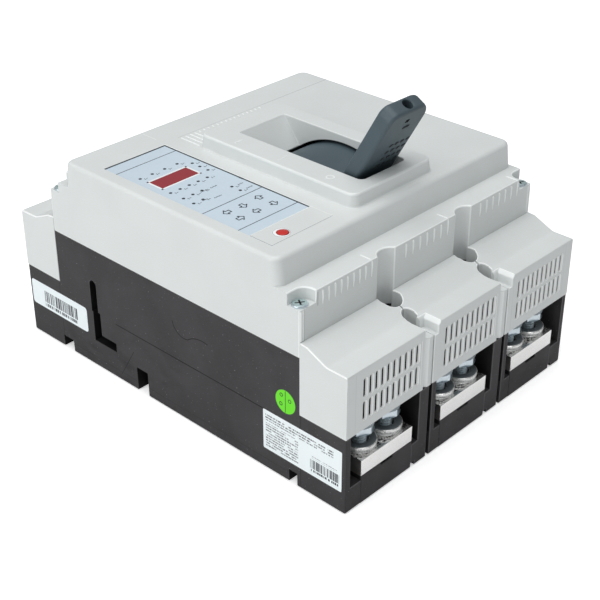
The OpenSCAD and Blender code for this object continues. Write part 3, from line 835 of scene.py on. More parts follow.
def rounded_edges(bm: bmesh.types.BMesh, width: Width) -> Dict[Edge, float]:
    """Picks the sharp edges to round, each no wider than its neighbours leave room for.

    Args:
        bm: The mesh, in millimetres.
        width: Wanted rounding of an edge from its middle and its direction.

    Returns:
        The rounding of each edge.
    """
    way, held = {}, {}
    for edge in bm.edges:
        if len(edge.link_faces) == 2 and edge.calc_face_angle(0) > math.radians(25):
            way[edge] = (edge.verts[1].co - edge.verts[0].co).normalized()
    for edge, along in way.items():
        size = width((edge.verts[0].co + edge.verts[1].co) / 2, along)
        for other in {e for vert in edge.verts for e in vert.link_edges if e in way} - {edge}:
            if abs(along.dot(way[other])) <= 0.88 and set(edge.link_faces) & set(other.link_faces):
                size = min(size, other.calc_length() * 0.45)
        if size > 0.05:
            held[edge] = size
    return held


def shell(
    name: str, bm: bmesh.types.BMesh, finish: Finish, width: Width, steps: int = 3, cutters: Sequence[Obj] = (),
    place: Matrix = Matrix.Identity(4), rim: Optional[Finish] = None, body: Body = Body.BREAKER,
    replaces: Sequence[str] = (),
) -> Obj:
    """Cuts a closed form, rounds its edges and dresses it.

    Args:
        name: Name of the piece.
        bm: The form, in metres.
        finish: Its finish.
        width: Rounding of an edge from its middle and its direction, in millimetres.
        steps: Facets of a rounded edge.
        cutters: Objects cut out of it first.
        place: Slight change of place or size.
        rim: Finish of the rounded edges, a paler painted highlight, if it differs.
        body: Body that it moves with.
        replaces: CAD nodes that it stands for.

    Returns:
        The new piece.
    """
    mesh = bpy.data.meshes.new(name)
    made = linked("dressing", mesh)
    if cutters:
        bm.to_mesh(mesh)
        bm.clear()
        bm.from_mesh(baked(made, cutters))
    bmesh.ops.scale(bm, vec=(1 / MM,) * 3, verts=bm.verts)
    bmesh.ops.remove_doubles(bm, verts=bm.verts, dist=0.004)
    bmesh.ops.dissolve_limit(bm, angle_limit=math.radians(0.8), verts=bm.verts, edges=bm.edges, delimit=set())
    bm.normal_update()
    layer = bm.edges.layers.float.new("bevel_weight_edge")
    for edge, size in rounded_edges(bm, width).items():
        edge[layer] = min(1.0, size / WIDEST)
    bmesh.ops.transform(bm, matrix=Matrix.Scale(MM, 4) @ place, verts=bm.verts)
    reach = [(min(v.co[i] for v in bm.verts), max(v.co[i] for v in bm.verts)) for i in range(3)]
    bm.to_mesh(mesh)
    for _ in range(2):
        mesh.materials.append(None)
    bevel = made.modifiers.new("edges", "BEVEL")
    bevel.width, bevel.segments, bevel.limit_method, bevel.material = WIDEST * MM, steps, "WEIGHT", 1
    bevel.use_clamp_overlap, bevel.loop_slide, bevel.miter_outer = False, False, "MITER_SHARP"
    made.data = baked(made)
    bm.clear()
    bm.from_mesh(made.data)
    for vert in bm.verts:
        vert.co = [min(max(c, low), high) for c, (low, high) in zip(vert.co, reach)]
    bm.normal_update()
    # Narrow convex strips of the rounding keep the rim finish, a painted highlight along the edges.
    for face in (f for f in bm.faces if f.material_index):
        sides = sorted(face.edges, key=lambda e: e.calc_length())[-2:]
        narrow = face.calc_area() < HIGHLIGHT_WIDTH * MM * sides[-1].calc_length()
        face.material_index = int(narrow and all(e.is_convex or e.calc_face_angle(0) < 0.06 for e in sides))
    bm.to_mesh(made.data)
    bm.free()
    mesh = level_faces(made)
    bpy.data.objects.remove(made)
    return settle(name, mesh, finish, body, 0.0, replaces, rim)


def dress(node: str, finish: Finish, width: Width, **options: object) -> Obj:
    """Stands a copy of a CAD node in for it, with its edges rounded.

    Args:
        node: The CAD node.
        finish: Its finish.
        width: Rounding of an edge from its middle and its direction, in millimetres.
        **options: What else a shell takes.

    Returns:
        The new piece.
    """
    bm = bmesh.new()
    bm.from_mesh(bpy.data.objects[node].data)
    bmesh.ops.remove_doubles(bm, verts=bm.verts, dist=0.004 * MM)
    return shell(node + "_shell", bm, finish, width, replaces=[node], **options)


class Blank:
    """A piece in the making, drawn in millimetres with bmesh operators."""

    def __init__(self) -> None:
        """Starts an empty form."""
        self.bm = bmesh.new()

    def block(self, low: Triple, high: Triple) -> List[Vert]:
        """Adds a block between two corners.

        Args:
            low: Its lowest corner.
            high: Its highest corner.

        Returns:
            Its eight vertices.
        """
        made = bmesh.ops.create_cube(self.bm, size=1.0)["verts"]
        bmesh.ops.scale(self.bm, vec=Vector(high) - Vector(low), verts=made)
        bmesh.ops.translate(self.bm, vec=(Vector(high) + Vector(low)) / 2, verts=made)
        return made

    def rod(
        self, foot: Triple, radius: float, length: float, axis: str = "Z", sides: int = 32, top: Optional[float] = None
    ) -> None:
        """Adds a cylinder or cone that stands on its foot along X or Z.

        Args:
            foot: Middle of its lower end.
            radius: Radius of the lower end.
            length: Its length.
            axis: X or Z.
            sides: Number of sides.
            top: Radius of the upper end, if it differs.
        """
        place = Matrix.Translation(foot) @ Matrix.Rotation(math.pi / 2 * (axis == "X"), 4, "Y")
        place @= Matrix.Translation((0, 0, length / 2))
        radii = {"radius1": radius, "radius2": radius if top is None else top}
        bmesh.ops.create_cone(self.bm, cap_ends=True, segments=sides, depth=length, matrix=place, **radii)

    def sheet(self, outline: Sequence[Pair], z: float, radii: Sequence[float] = (), steps: int = 5) -> Face:
        """Adds a flat face over an outline in X and Y.

        Args:
            outline: Corners, anticlockwise seen from above.
            z: Its height.
            radii: Radius of each corner, or of all.
            steps: Facets of a rounded corner.

        Returns:
            The face.
        """
        corners = [self.bm.verts.new((x, y, z)) for x, y in outline]
        face = self.bm.faces.new(corners)
        for corner, size in zip(corners, list(radii) * (len(corners) if len(radii) == 1 else 1)):
            if size:
                others = set(face.verts) - {corner}
                bmesh.ops.bevel(
                    self.bm, geom=[corner], offset=size, offset_type="OFFSET", segments=steps, profile=0.5,
                    affect="VERTICES", clamp_overlap=False, material=-1,
                )
                face = next(f for f in next(iter(others)).link_faces if others <= set(f.verts))
        return face

    def plate(
        self, outline: Sequence[Pair], z0: float, z1: float, radii: Sequence[float] = (), steps: int = 5
    ) -> List[Vert]:
        """Adds a plate over an outline in X and Y.

        Args:
            outline: Corners, anticlockwise seen from above.
            z0: Height of its underside.
            z1: Height of its top.
            radii: Radius of each corner, or of all.
            steps: Facets of a rounded corner.

        Returns:
            Its vertices.
        """
        before = set(self.bm.verts)
        raised = bmesh.ops.extrude_face_region(self.bm, geom=[self.sheet(outline, z0, radii, steps)])["geom"]
        bmesh.ops.translate(self.bm, vec=(0, 0, z1 - z0), verts=[g for g in raised if isinstance(g, Vert)])
        return [v for v in self.bm.verts if v not in before]

    def ring(self, centre: Triple, inner: float, outer: float, height: float, sides: int = 40) -> List[Vert]:
        """Adds a flat ring whose foot is at its centre's height."""
        return self.lathe([(inner, 0), (outer, 0), (outer, height), (inner, height)], centre, sides)

    def lathe(self, profile: Sequence[Pair], foot: Triple, sides: int = 40, closed: bool = True) -> List[Vert]:
        """Spins a profile of radii and heights about the vertical at its foot.

        Args:
            profile: Radius and height of each point.
            foot: Point that the profile is measured from.
            sides: Facets of a turn.
            closed: Whether the last point joins the first.

        Returns:
            Its vertices.
        """
        before = set(self.bm.verts)
        points = [self.bm.verts.new((foot[0] + r, foot[1], foot[2] + z)) for r, z in profile]
        edges = [self.bm.edges.new(pair) for pair in zip(points, points[1:] + points[:1] * closed)]
        bmesh.ops.spin(
            self.bm, geom=points + edges, cent=foot, axis=(0, 0, 1), dvec=(0, 0, 0), angle=2 * math.pi, steps=sides,
            use_merge=True, use_duplicate=False,
        )
        bmesh.ops.remove_doubles(self.bm, verts=[v for v in self.bm.verts if v not in before], dist=0.0005)
        return [v for v in self.bm.verts if v not in before]

    def ridge(self, x: float, path: Sequence[Tuple[float, ...]], half: float, lean: float = 0.0) -> None:
        """Sweeps a three-sided ridge along a path across the poles.

        Args:
            x: Its middle.
            path: Points with Y, Z, the way up in Y and Z, and the height there.
            half: Half of its width.
            lean: Shift of its foot end along X.
        """

        def corners(i: int) -> List[Vector]:
            """Works out the section at a point of the path.

            Args:
                i: Number of the point.

            Returns:
                The section's corners.
            """
            y, z, up_y, up_z, height = path[i]
            at = x + lean * i / (len(path) - 1)
            ends = ((at - half, -0.2), (at + half, -0.2), (at, height))
            return [Vector((across, y + up_y * up, z + up_z * up)) for across, up in ends]

        face = self.bm.faces.new([self.bm.verts.new(c) for c in corners(0)])
        for i in range(1, len(path)):
            raised = bmesh.ops.extrude_face_region(self.bm, geom=[face])["geom"]
            face = next(g for g in raised if isinstance(g, Face))
            old = corners(i - 1)
            for vert in face.verts:
                vert.co = corners(i)[min(range(3), key=lambda k: (vert.co - old[k]).length)]

    def soften(self, width: float, steps: int, pick: Callable[[Edge], bool]) -> "Blank":
        """Rounds the sharp edges that pick accepts.

        Args:
            width: Width of the rounding.
            steps: Its facets.
            pick: Whether a sharp edge is rounded.

        Returns:
            This piece in the making.
        """
        self.bm.normal_update()
        sharp = [e for e in self.bm.edges if len(e.link_faces) == 2 and e.calc_face_angle(0) > 0.5 and pick(e)]
        bmesh.ops.bevel(
            self.bm, geom=sharp, offset=width, offset_type="OFFSET", segments=steps, profile=0.5, affect="EDGES",
            clamp_overlap=False, material=-1,
        )
        return self

    def move(self, matrix: Matrix, verts: Optional[Sequence[Vert]] = None) -> "Blank":
        """Places everything drawn so far, or some of it."""
        bmesh.ops.transform(self.bm, matrix=matrix, verts=self.bm.verts if verts is None else verts)
        return self

    def formed(self) -> bmesh.types.BMesh:
        """Brings the finished form to metres, facing outwards.

        Returns:
            The form.
        """
        bmesh.ops.recalc_face_normals(self.bm, faces=self.bm.faces)
        bmesh.ops.scale(self.bm, vec=(MM,) * 3, verts=self.bm.verts)
        return self.bm

    def mesh(self, name: str) -> Mesh:
        """Turns the finished form into a mesh.

        Args:
            name: Name of the mesh.

        Returns:
            The mesh, in metres.
        """
        mesh = bpy.data.meshes.new(name)
        self.formed().to_mesh(mesh)
        self.bm.free()
        return mesh

    def cutter(self, name: str) -> Obj:
        """Makes a bare object that only cuts others."""
        return linked(name, self.mesh(name))

    def done(
        self, name: str, finish: Finish, *replaces: str, body: Body = Body.BREAKER, angle: float = SHARP
    ) -> Obj:
        """Makes the object, dresses it and lets it ride on its body.

        Args:
            name: Name of the piece.
            finish: Its finish.
            *replaces: CAD nodes that it stands for.
            body: Body that it moves with.
            angle: Edges sharper than this stay sharp, in degrees.

        Returns:
            The object.
        """
        return settle(name, self.mesh(name), finish, body, angle, replaces)


# --------------------------------------------------------------- sub-assemblies


@dataclass
class UpperCover:
    """The light grey cover and the small mouldings on it."""

    terrace: float = 123.5
    plateau_end: float = 89.0
    draft: float = 2.0
    corner: float = 6.0
    brow: float = 2.6
    grip_x: Pair = (-33.2, 39.0)
    grip_y: Pair = (46.2, 63.5)
    grip_pitch: float = 3.8
    ribs: Tuple[Tuple[float, float, int], ...] = ((-87.4, 4.95, 9), (-18.2, 6.35, 7), (51.6, 6.3, 7))
    rib_ends: Tuple[Pair, ...] = ((121.8, 0.1), (121.3, 0.8), (117.0, 0.7), (112.6, 0.05))
    edge_ribs: Tuple[Pair, ...] = ((97, 0.5), (114.6, 0.5), (115.6, 0.05))

    def edge(self, p: Vector, d: Vector) -> float:
        """Rounding of the cover's edges.

        Args:
            p: Middle of the edge.
            d: Its direction.

        Returns:
            Width of the rounding, in millimetres.
        """
        outer, end = near(abs(p.x), HALF_W), near(abs(p.y), BODY_END)
        if near(p.z, TOP):
            if (outer and abs(d.y) > 0.9) or (near(abs(p.y), self.plateau_end) and abs(d.x) > 0.9):
                return self.brow
            if abs(p.x) > HALF_W - self.corner and abs(p.y) > self.plateau_end - self.corner:
                return self.brow
            return 0.25 if p.x < -46 else 0.0
        if near(p.z, self.terrace, 0.05):
            if outer or abs(p.y) < self.plateau_end + self.draft + 0.2:
                return 0.0
            return 1.5 if end and abs(d.x) > 0.9 else 0.8
        if near(abs(p.y), BODY_END, 0.1) and abs(d.z) > 0.9:
            return 0.8 if outer else 0.7
        if near(p.y, -70.3) and abs(d.z) > 0.9:
            return 3.6
        return 0.3 if near(p.z, 87.0) and (outer or end) else 0.0

    def corners(self) -> Obj:
        """Makes the cutter that rounds the four leaning corners of the raised top.

        Returns:
            The cutter.
        """
        blank, r, foot = Blank(), self.corner, self.plateau_end + self.draft
        turns = [i * math.pi / 16 for i in range(9)]
        arc = [(HALF_W - r + r * math.sin(a), foot - r + r * math.cos(a)) for a in turns]
        arc += [(HALF_W + 1, foot - r), (HALF_W + 1, foot + 2), (HALF_W - r, foot + 2)]
        for side, end in ((1, 1), (1, -1), (-1, 1), (-1, -1)):
            outline = [(side * x, end * y) for x, y in arc][:: side * end]
            for vert in blank.plate(outline, self.terrace, TOP + 1.65):
                vert.co.y -= end * (vert.co.z - self.terrace) * self.draft / (TOP - self.terrace)
        return blank.cutter("top_corner_cutter")

    def grip(self) -> None:
        """Ridges of the accessory lid's grip, beside the collar."""
        blank, x, (y0, y1) = Blank(), self.grip_x[0], self.grip_y
        while x < self.grip_x[1]:
            points = ((y0 if x < -20 else y1 - 2.2, 0.35), (y1 - 0.8, 0.35), (y1, 0.05))
            blank.ridge(x, [(y, TOP, 0, 1, high) for y, high in points], 0.5)
            x += self.grip_pitch
        # The ridges take the paler copy of the cover grey, a painted highlight.
        blank.done("accessory_lid_grip", COVER_HIGHLIGHT, angle=10.0)

    def wall_ribs(self) -> None:
        """Fine ribs at the top of the end walls, fading downwards."""
        wall, sides = ([(-BODY_END, z, -1, 0, up) for z, up in ends] for ends in (self.rib_ends, self.edge_ribs))
        brow = [(y, self.terrace, 0, 1, up) for y, up in ((-97.6, 0.05), (-98.4, 0.4), (-104.3, 0.45))]
        for a in (0.4, 0.8, 1.2):
            brow += [(-104.6 - 1.4 * math.sin(a), 122.1 + 1.4 * math.cos(a), -math.sin(a), math.cos(a), 0.45)]
        for end in End:
            blank = Blank()
            for start, pitch, count in self.ribs:
                for i in range(count):
                    blank.ridge(start + i * pitch, brow + wall[1:] if i == count - 1 else wall, 0.75, 0.6)
            for x in (-103.9, -102.2, 102.2, 103.9):
                blank.ridge(x, sides, 0.75)
            # The ribs take the paler copy, a painted highlight.
            blank.move(end.turn).done(f"{end.word}_wall_ribs", COVER_HIGHLIGHT, angle=10.0)

    def build(self) -> None:
        """Builds the cover."""
        corners = self.corners()
        made = dress("upper_cover", COVER_BODY, self.edge, cutters=[corners], rim=COVER_HIGHLIGHT)
        tint(made, COVER_BODY, lambda p, n: abs(p.x) > 0.097 and 0.081 < abs(p.y) < 0.0915 and p.z > 0.1237)
        bpy.data.objects.remove(corners)
        self.grip()
        self.wall_ribs()


@dataclass
class Collar:
    """Raised collar round the handle opening, in one skin with its foot fillet."""

    outer: Box = (-34.5, 38.0, -81.0, 46.5)
    opening: Box = (-15.3, 24.3, -70.1, 29.1)
    lining_z: float = 130.8
    hollow_r: float = 61.5
    corner: float = 6.5
    opening_r: Pair = (3.6, 1.2)
    draft: float = 1.2
    foot_r: float = 1.2
    brow_r: float = 1.4
    rim_r: float = 0.7
    slope: float = 0.714

    def rectangle(self, box: Box, grow: float) -> List[Pair]:
        """Corners of a rectangle grown to all sides."""
        x0, x1, y0, y1 = box[0] - grow, box[1] + grow, box[2] - grow, box[3] + grow
        return [(x0, y0), (x1, y0), (x1, y1), (x0, y1)]

    def climb(self, blank: Blank, face: Face, inward: float, up: float) -> None:
        """Carries a face inward and up, leaving a band of wall behind.

        Args:
            blank: The form.
            face: The face that is carried.
            inward: How far it shrinks to all sides.
            up: How far it rises.
        """
        bmesh.ops.inset_region(
            blank.bm, faces=[face], thickness=inward, depth=0.0, use_even_offset=True, use_boundary=True
        )
        bmesh.ops.translate(blank.bm, vec=(0, 0, up), verts=list(face.verts))

    def roll(self, blank: Blank, face: Face, radius: float, steps: int, way: int, turn: float = math.pi / 2) -> None:
        """Carries a face along an arc.

        Args:
            blank: The form.
            face: The face that is carried.
            radius: Radius of the arc.
            steps: Its facets.
            way: 0 to start upright, or 1 or -1 to start level and bend up or down.
            turn: Angle of the arc.
        """
        for step in range(steps):
            a, b = (turn * s / steps for s in (step, step + 1))
            sine, cosine = radius * (math.sin(b) - math.sin(a)), radius * (math.cos(a) - math.cos(b))
            self.climb(blank, face, sine if way else cosine, way * cosine if way else sine)

    def outside(self, blank: Blank) -> Face:
        """Draws the foot fillet, the drafted wall and the rounded brow.

        Args:
            blank: The form.

        Returns:
            The top face.
        """
        grow = self.foot_r - 0.15
        face = blank.sheet(self.rectangle(self.outer, grow), TOP + 0.02, [self.corner + grow], 8)
        self.roll(blank, face, self.foot_r, 6, 1, math.pi / 2 * 0.9)
        self.climb(blank, face, self.draft - 0.3, COLLAR_TOP - self.brow_r - face.verts[0].co.z)
        self.roll(blank, face, self.brow_r, 6, 0)
        return face

    def inside(self, blank: Blank) -> Face:
        """Draws the rounded rim and the walls of the opening.

        Args:
            blank: The form.

        Returns:
            The lowest face.
        """
        radii = [r + self.rim_r for r in self.opening_r for _ in range(2)]
        face = blank.sheet(self.rectangle(self.opening, self.rim_r), COLLAR_TOP, radii, 8)
        self.roll(blank, face, self.rim_r, 4, -1)
        lowered = bmesh.ops.extrude_face_region(blank.bm, geom=[face])["geom"]
        floor = next(g for g in lowered if isinstance(g, Face))
        bmesh.ops.delete(blank.bm, geom=[face], context="FACES_ONLY")
        for vert in floor.verts:
            vert.co.z = self.lining_z
            if vert.co.y > 20:
                vert.co.y -= self.slope * (COLLAR_TOP - self.lining_z) + 0.3
        return floor

    def marks(self) -> None:
        """Raised position marks on the collar, in a paler grey that paints their highlight."""
        blank, z0, z1 = Blank(), COLLAR_TOP - 0.1, COLLAR_TOP + 0.16
        for x0, x1, y0, y1 in ((-28.5, -22.5, 19.0, 20.0), (-28.0, -21.0, -17.0, -16.4)):
            blank.block((x0, y0, z0), (x1, y1, z1))
        blank.ring((-24.8, -54.5, z0), 1.9, 2.7, z1 - z0, 28)
        blank.done("collar_marks", MARK_HIGHLIGHT)

    def build(self) -> None:
        """Builds the collar."""
        blank = Blank()
        top = self.outside(blank)
        brow = list(top.edges)
        bmesh.ops.delete(blank.bm, geom=[top], context="FACES_ONLY")
        foot = [e for e in blank.bm.edges if e.is_boundary and e not in brow]
        before = set(blank.bm.edges)
        floor = self.inside(blank)
        lowest = list(floor.edges)
        bmesh.ops.delete(blank.bm, geom=[floor], context="FACES_ONLY")
        rim = [e for e in blank.bm.edges if e not in before and e.is_boundary and e not in lowest]
        for loops in (brow + rim, foot + lowest):
            bmesh.ops.bridge_loops(blank.bm, edges=loops)
        made = blank.done("handle_collar_shell", COVER_BODY, "handle_collar", angle=50.0)
        hollow = Blank()
        hollow.rod((-26, *PIVOT), self.hollow_r, 61, "X", 96)
        carve(made, hollow.cutter("hollow_cut"))
        made.data = level_faces(made)
        # The brow's rounding takes the paler copy, a painted highlight.
        tint(made, COLLAR_HIGHLIGHT, lambda p, n: p.z > 0.1463 and 0.12 < n.z < 0.97)
        self.marks()


@dataclass
class BaseHousing:
    """The black base, its sills, labels and sticker."""

    seat: float = 0.999
    bar_widths: Tuple[float, ...] = (0.35, 0.35, 0.6, 0.9, 1.3)
    bar_gaps: Tuple[float, ...] = (0.35, 0.5, 0.8, 1.2)
    label_skin: Pair = (104.86, 104.95)
    ink_skin: Pair = (-105.0, -104.9)
    sticker_at: Triple = (-104.93, -95.3, 53.5)
    sticker_r: float = 7.5

    def edge(self, p: Vector, d: Vector) -> float:
        """Rounding of the base's edges.

        Args:
            p: Middle of the edge.
            d: Its direction.

        Returns:
            Width of the rounding, in millimetres.
        """
        side, end = near(abs(p.x), HALF_W), near(abs(p.y), HALF_L)
        if side and end:
            return 1.0
        if p.z < 0.2 and (side or end):
            return 0.7
        if end:
            return 0.45
        return 0.35 if side and (p.z > 49 or abs(d.z) > 0.9) else 0.0

    def plate(self, name: str, y: Pair, z: Pair, finish: Finish, rounding: float) -> None:
        """Makes a thin label on the left side face.

        Args:
            name: Name of the label.
            y: Its ends along Y.
            z: Its lower and upper edge.
            finish: Its finish.
            rounding: Radius of its corners.
        """
        blank = Blank()
        blank.plate([(y[0], z[0]), (y[1], z[0]), (y[1], z[1]), (y[0], z[1])], *self.label_skin, [rounding])
        turn = Matrix(((0, 0, -1, 0), (1, 0, 0, 0), (0, 1, 0, 0), (0, 0, 0, 1)))
        blank.move(turn).done(name, finish)

    def bars(self, name: str, y: Pair, z: Pair, seed: int, count: int) -> None:
        """Makes a row of upright bars of random widths on a label.

        Args:
            name: Name of the row.
            y: Its ends along Y.
            z: Its lower and upper edge.
            seed: Seed of the random widths.
            count: Number of bars.
        """
        blank, rng = Blank(), random.Random(seed)
        widths, gaps = ([rng.choice(sizes) for _ in range(count)] for sizes in (self.bar_widths, self.bar_gaps))
        unit, at = (y[1] - y[0]) / (sum(widths) + sum(gaps)), y[0]
        for width, gap in zip(widths, gaps):
            blank.block((self.ink_skin[0], at, z[0]), (self.ink_skin[1], at + width * unit, z[1]))
            at += (width + gap) * unit
        blank.done(name, PANEL_INK)

    def labels(self) -> None:
        """The two white labels and their bars."""
        self.plate("side_label_line_end", (80.1, 137.9), (22.0, 40.2), LABEL_WHITE, 2.2)
        self.bars("side_label_bars", (90.5, 125.5), (27.0, 35.4), 5, 26)
        self.bars("side_label_digits", (91.5, 125.0), (23.9, 26.1), 9, 22)
        self.plate("side_label_load_end", (-137.2, -77.8), (13.8, 40.8), LABEL_PRINT, 0.8)
        self.bars("side_label_small_bars", (-135.4, -113.4), (18.7, 24.6), 3, 24)
        self.bars("side_label_small_digits", (-134.8, -114.0), (16.6, 18.0), 11, 15)

    def sticker(self) -> None:
        """The round green sticker and the marks on it."""
        blank = Blank()
        blank.rod(self.sticker_at, self.sticker_r, 0.07, "X", 48)
        blank.done("round_sticker", STICKER_GREEN)
        blank = Blank()
        blank.block((-105.0, -95.5, 46.4), (-104.92, -95.1, 60.6))
        for y, z in ((-98.6, 55.3), (-92.2, 57.0), (-91.9, 51.0)):
            turn = Matrix.Translation((-105.0, y, z)) @ Matrix.Rotation(math.pi / 2, 4, "Y")
            blank.move(turn, blank.ring((0, 0, 0), 0.8, 1.25, 0.08, 16))
        blank.done("sticker_marks", STICKER_INK)

    def build(self) -> None:
        """Builds the base."""
        place = Matrix.Scale(self.seat, 4, (1, 0, 0))
        dress("base_housing", BASE_BLACK, self.edge, steps=2, place=place, rim=BASE_HIGHLIGHT)
        for node in (f"{end.word}_sill_{pole.word}" for end in End for pole in Pole):
            dress(node, BASE_BLACK, lambda p, d: 0.4 if near(abs(p.y), HALF_L) else 0.0, steps=2)
        self.labels()
        self.sticker()


@dataclass
class Terminals:
    """Covers, bars, bolts and washers of both ends."""

    bar_top: float = 29.3
    head_z: float = 39.6
    head_h: float = 6.1
    bolt_y: float = -128.5
    bolt_r: float = 4.3
    shank_foot: float = 20.0
    thread: float = 1.7
    flats: float = 15.0
    washer_r: float = 10.25
    washer_z: float = 31.7
    spring_r: float = 9.75
    bore_r: float = 5.6
    bolt_pitch: float = 22.0
    profile: Tuple[Pair, ...] = (
        (-106.05, 96.4), (-111.3, 96.0), (-123.6, 90.5), (-125.2, 89.95), (-126.6, 89.8), (-140, 89.8), (-140, 50),
        (-106.05, 50),
    )
    joint: float = 0.4
    wall: float = 2.4
    beyond: float = -141.0
    hollow_y: Pair = (-137.6, -104.0)
    hollow_z: Pair = (49.0, 87.4)
    above: float = 101.0
    well: Triple = (-0.2, -109.6, 7.1)
    port: Triple = (0.0, -123.8, 4.4)
    ledge: Triple = (6.2, -129.3, 82.4)
    post: Tuple[Pair, ...] = (
        (-5.2, -136.6), (-5.2, -137.4), (-1.4, -140), (1.9, -140), (1.9, -131), (-1.0, -131), (-1.0, -136.6),
    )
    post_z: float = 83.0
    grille: Triple = (24.9, 55.4, 83.8)
    skin: float = 1.1
    slot: Triple = (1.75, 3.1, 12.2)
    slot_corners: Tuple[float, ...] = (1.5, 1.1, 1.5, 1.1)
    slot_slant: float = 0.75
    slot_pitch: float = 4.9
    slot_z: Pair = (62.3, 77.0)

    def cover_edge(self, p: Vector, d: Vector) -> float:
        """Rounding of the terminal covers' edges, drawn at the load end.

        Args:
            p: Middle of the edge.
            d: Its direction.

        Returns:
            Width of the rounding, in millimetres.
        """
        off = (p.x + 55) % PITCH - 20
        front, side, inner = near(p.y, -HALF_L), near(abs(p.x), HALF_W), abs(p.x) < 90 and off < 13
        if front and 55 < p.z < 84 and not (inner and off < 8):
            return 0.0
        if inner and abs(d.z) < 0.6 and p.z > 88 and not (front and abs(d.x) > 0.9):
            if off > self.ledge[0] + 0.3 and p.y < -126:
                return 0.3
            return 0.25 if -1 < off < 3.4 and -130 < p.y < -127.2 else 0.7
        if front and near(p.z, 89.8):
            return 1.2
        if side and p.z > 80:
            return 0.6
        if inner and p.z > 80.5:
            return 0.3 if -130 < p.y < -119 else 0.45
        return 0.45 if front or p.z > 80 else 0.0

    def lines(self, pole: Pole) -> List[Tuple[int, float]]:
        """Lines between poles that bound a pole's cover, with the side they are on."""
        return [(s, (pole.value + s / 2) * PITCH) for s in SIDES if pole.value != s]

    def opening(self, cut: Blank, side: int, line: float) -> None:
        """Adds the port, the well and the ledge at a line between poles.

        Args:
            cut: The form that is taken out of a cover.
            side: Side of the cover that the line is on.
            line: Place of the line.
        """
        start, run = (85, -165) if side < 0 else (95, 95)
        x, y, r = self.port
        turns = [math.radians(start + run * i / 18) for i in range(19)]
        arc = [(line + x + r * math.cos(a), y + r * math.sin(a)) for a in turns]
        step, back, foot = line + (3.2 if side < 0 else -5.2), line + 3 * side, self.hollow_z[0]
        outline = arc + [(step, -129.5), (step, self.beyond), (back, self.beyond), (back, arc[0][1])]
        cut.plate(outline[::side], foot, self.above)
        x, y, r = self.well
        cut.rod((line + x, y, foot), r, self.above - foot, sides=72)
        if side < 0:
            x, y, z = self.ledge
            cut.block((line + 2, self.beyond, z), (line + x, y, self.above))
            for vert in cut.block((line + 1.4, self.beyond, 87.6), (line + x, y, 91)):
                if vert.co.z > 90:
                    vert.co.x += 3.3 if vert.co.x > line + 6 else 0
                    vert.co.y += 1.1 if vert.co.y > -135 else 0

    def cover(self, end: End, pole: Pole, field_cut: Obj) -> None:
        """Builds the cover of one pole of the load end and turns it to its end.

        Args:
            end: The end that it goes to.
            pole: Its pole at the load end.
            field_cut: Shape of the ventilation fields.
        """
        low, high = ((pole.value + s / 2) * PITCH - self.joint * s for s in SIDES)
        low, high = (-HALF_W if pole is Pole.LEFT else low), (HALF_W if pole is Pole.RIGHT else high)
        blank, cut = Blank(), Blank()
        blank.plate(self.profile, low, high)
        blank.move(Matrix(((0, 0, 1, 0), (1, 0, 0, 0), (0, 1, 0, 0), (0, 0, 0, 1))))
        inner, (front, rear), (foot, roof) = [low + self.wall, high - self.wall], self.hollow_y, self.hollow_z
        for side, line in self.lines(pole):
            self.opening(cut, side, line)
            inner[side > 0] = line - 10 * side
        cut.block((inner[0], front, foot), (inner[1], rear, roof))
        cutter, back = cut.cutter("cover_cut"), end.turn.inverted()
        node = f"{end.word}_cover_{pole.seen_at(end).word}"
        made = shell(
            node + "_shell", blank.formed(), COVER_GREY, self.cover_edge, 2, [cutter, field_cut], end.turn, COVER_EDGE_HIGHLIGHT,
            replaces=[node],
        )
        steps = [line for side, line in self.lines(pole) if side < 0]

        def on_ledge(p: Vector, n: Vector) -> bool:
            """Finds the walls and slopes round the ledge, which take a painted highlight.

            Args:
                p: Middle of a face.
                n: Its normal.

            Returns:
                Whether the face is one of them.
            """
            q = back @ p * 1000
            if not (q.y < -125 and 82 < q.z < 89.6 and n.z < 0.9 and abs(q.y + HALF_L) > 0.1):
                return False
            return any(1 < q.x - line < 9.4 for line in steps)

        # Paler copy on the ledge's walls and slopes: painted highlight.
        tint(made, COVER_HIGHLIGHT, on_ledge)
        bpy.data.objects.remove(cutter)

    def field(self, blank: Blank, pole: Pole, grow: Triple, y: Pair) -> Blank:
        """Adds a pole's ventilation field at the load end.

        Args:
            blank: The form that it is added to.
            pole: The pole.
            grow: How much larger it is to each side, below and above.
            y: Its depth from the front.

        Returns:
            The form.
        """
        half, low, high = self.grille
        x, half = pole.value * PITCH + self.slot[0], half + grow[0]
        blank.block((x - half, y[0] - HALF_L, low - grow[1]), (x + half, y[1] - HALF_L, high + grow[2]))
        return blank

    def posts(self, end: End) -> None:
        """Guide posts with a sloped flank, beside the covers' fronts.

        Args:
            end: The end that they go to.
        """
        blank = Blank()
        for line in (-PITCH / 2, PITCH / 2):
            blank.plate([(line + x, y) for x, y in self.post], 50, self.post_z)
        blank.soften(0.4, 2, lambda e: max(v.co.y for v in e.verts) < -137)
        made = blank.move(end.turn).done(f"{end.word}_guide_posts", COVER_GREY, angle=30.0)
        # The sloped flanks take the paler copy, a painted highlight.
        tint(made, COVER_HIGHLIGHT, lambda p, n: 0.3 < abs(n.x) < 0.75 and abs(n.z) < 0.1)

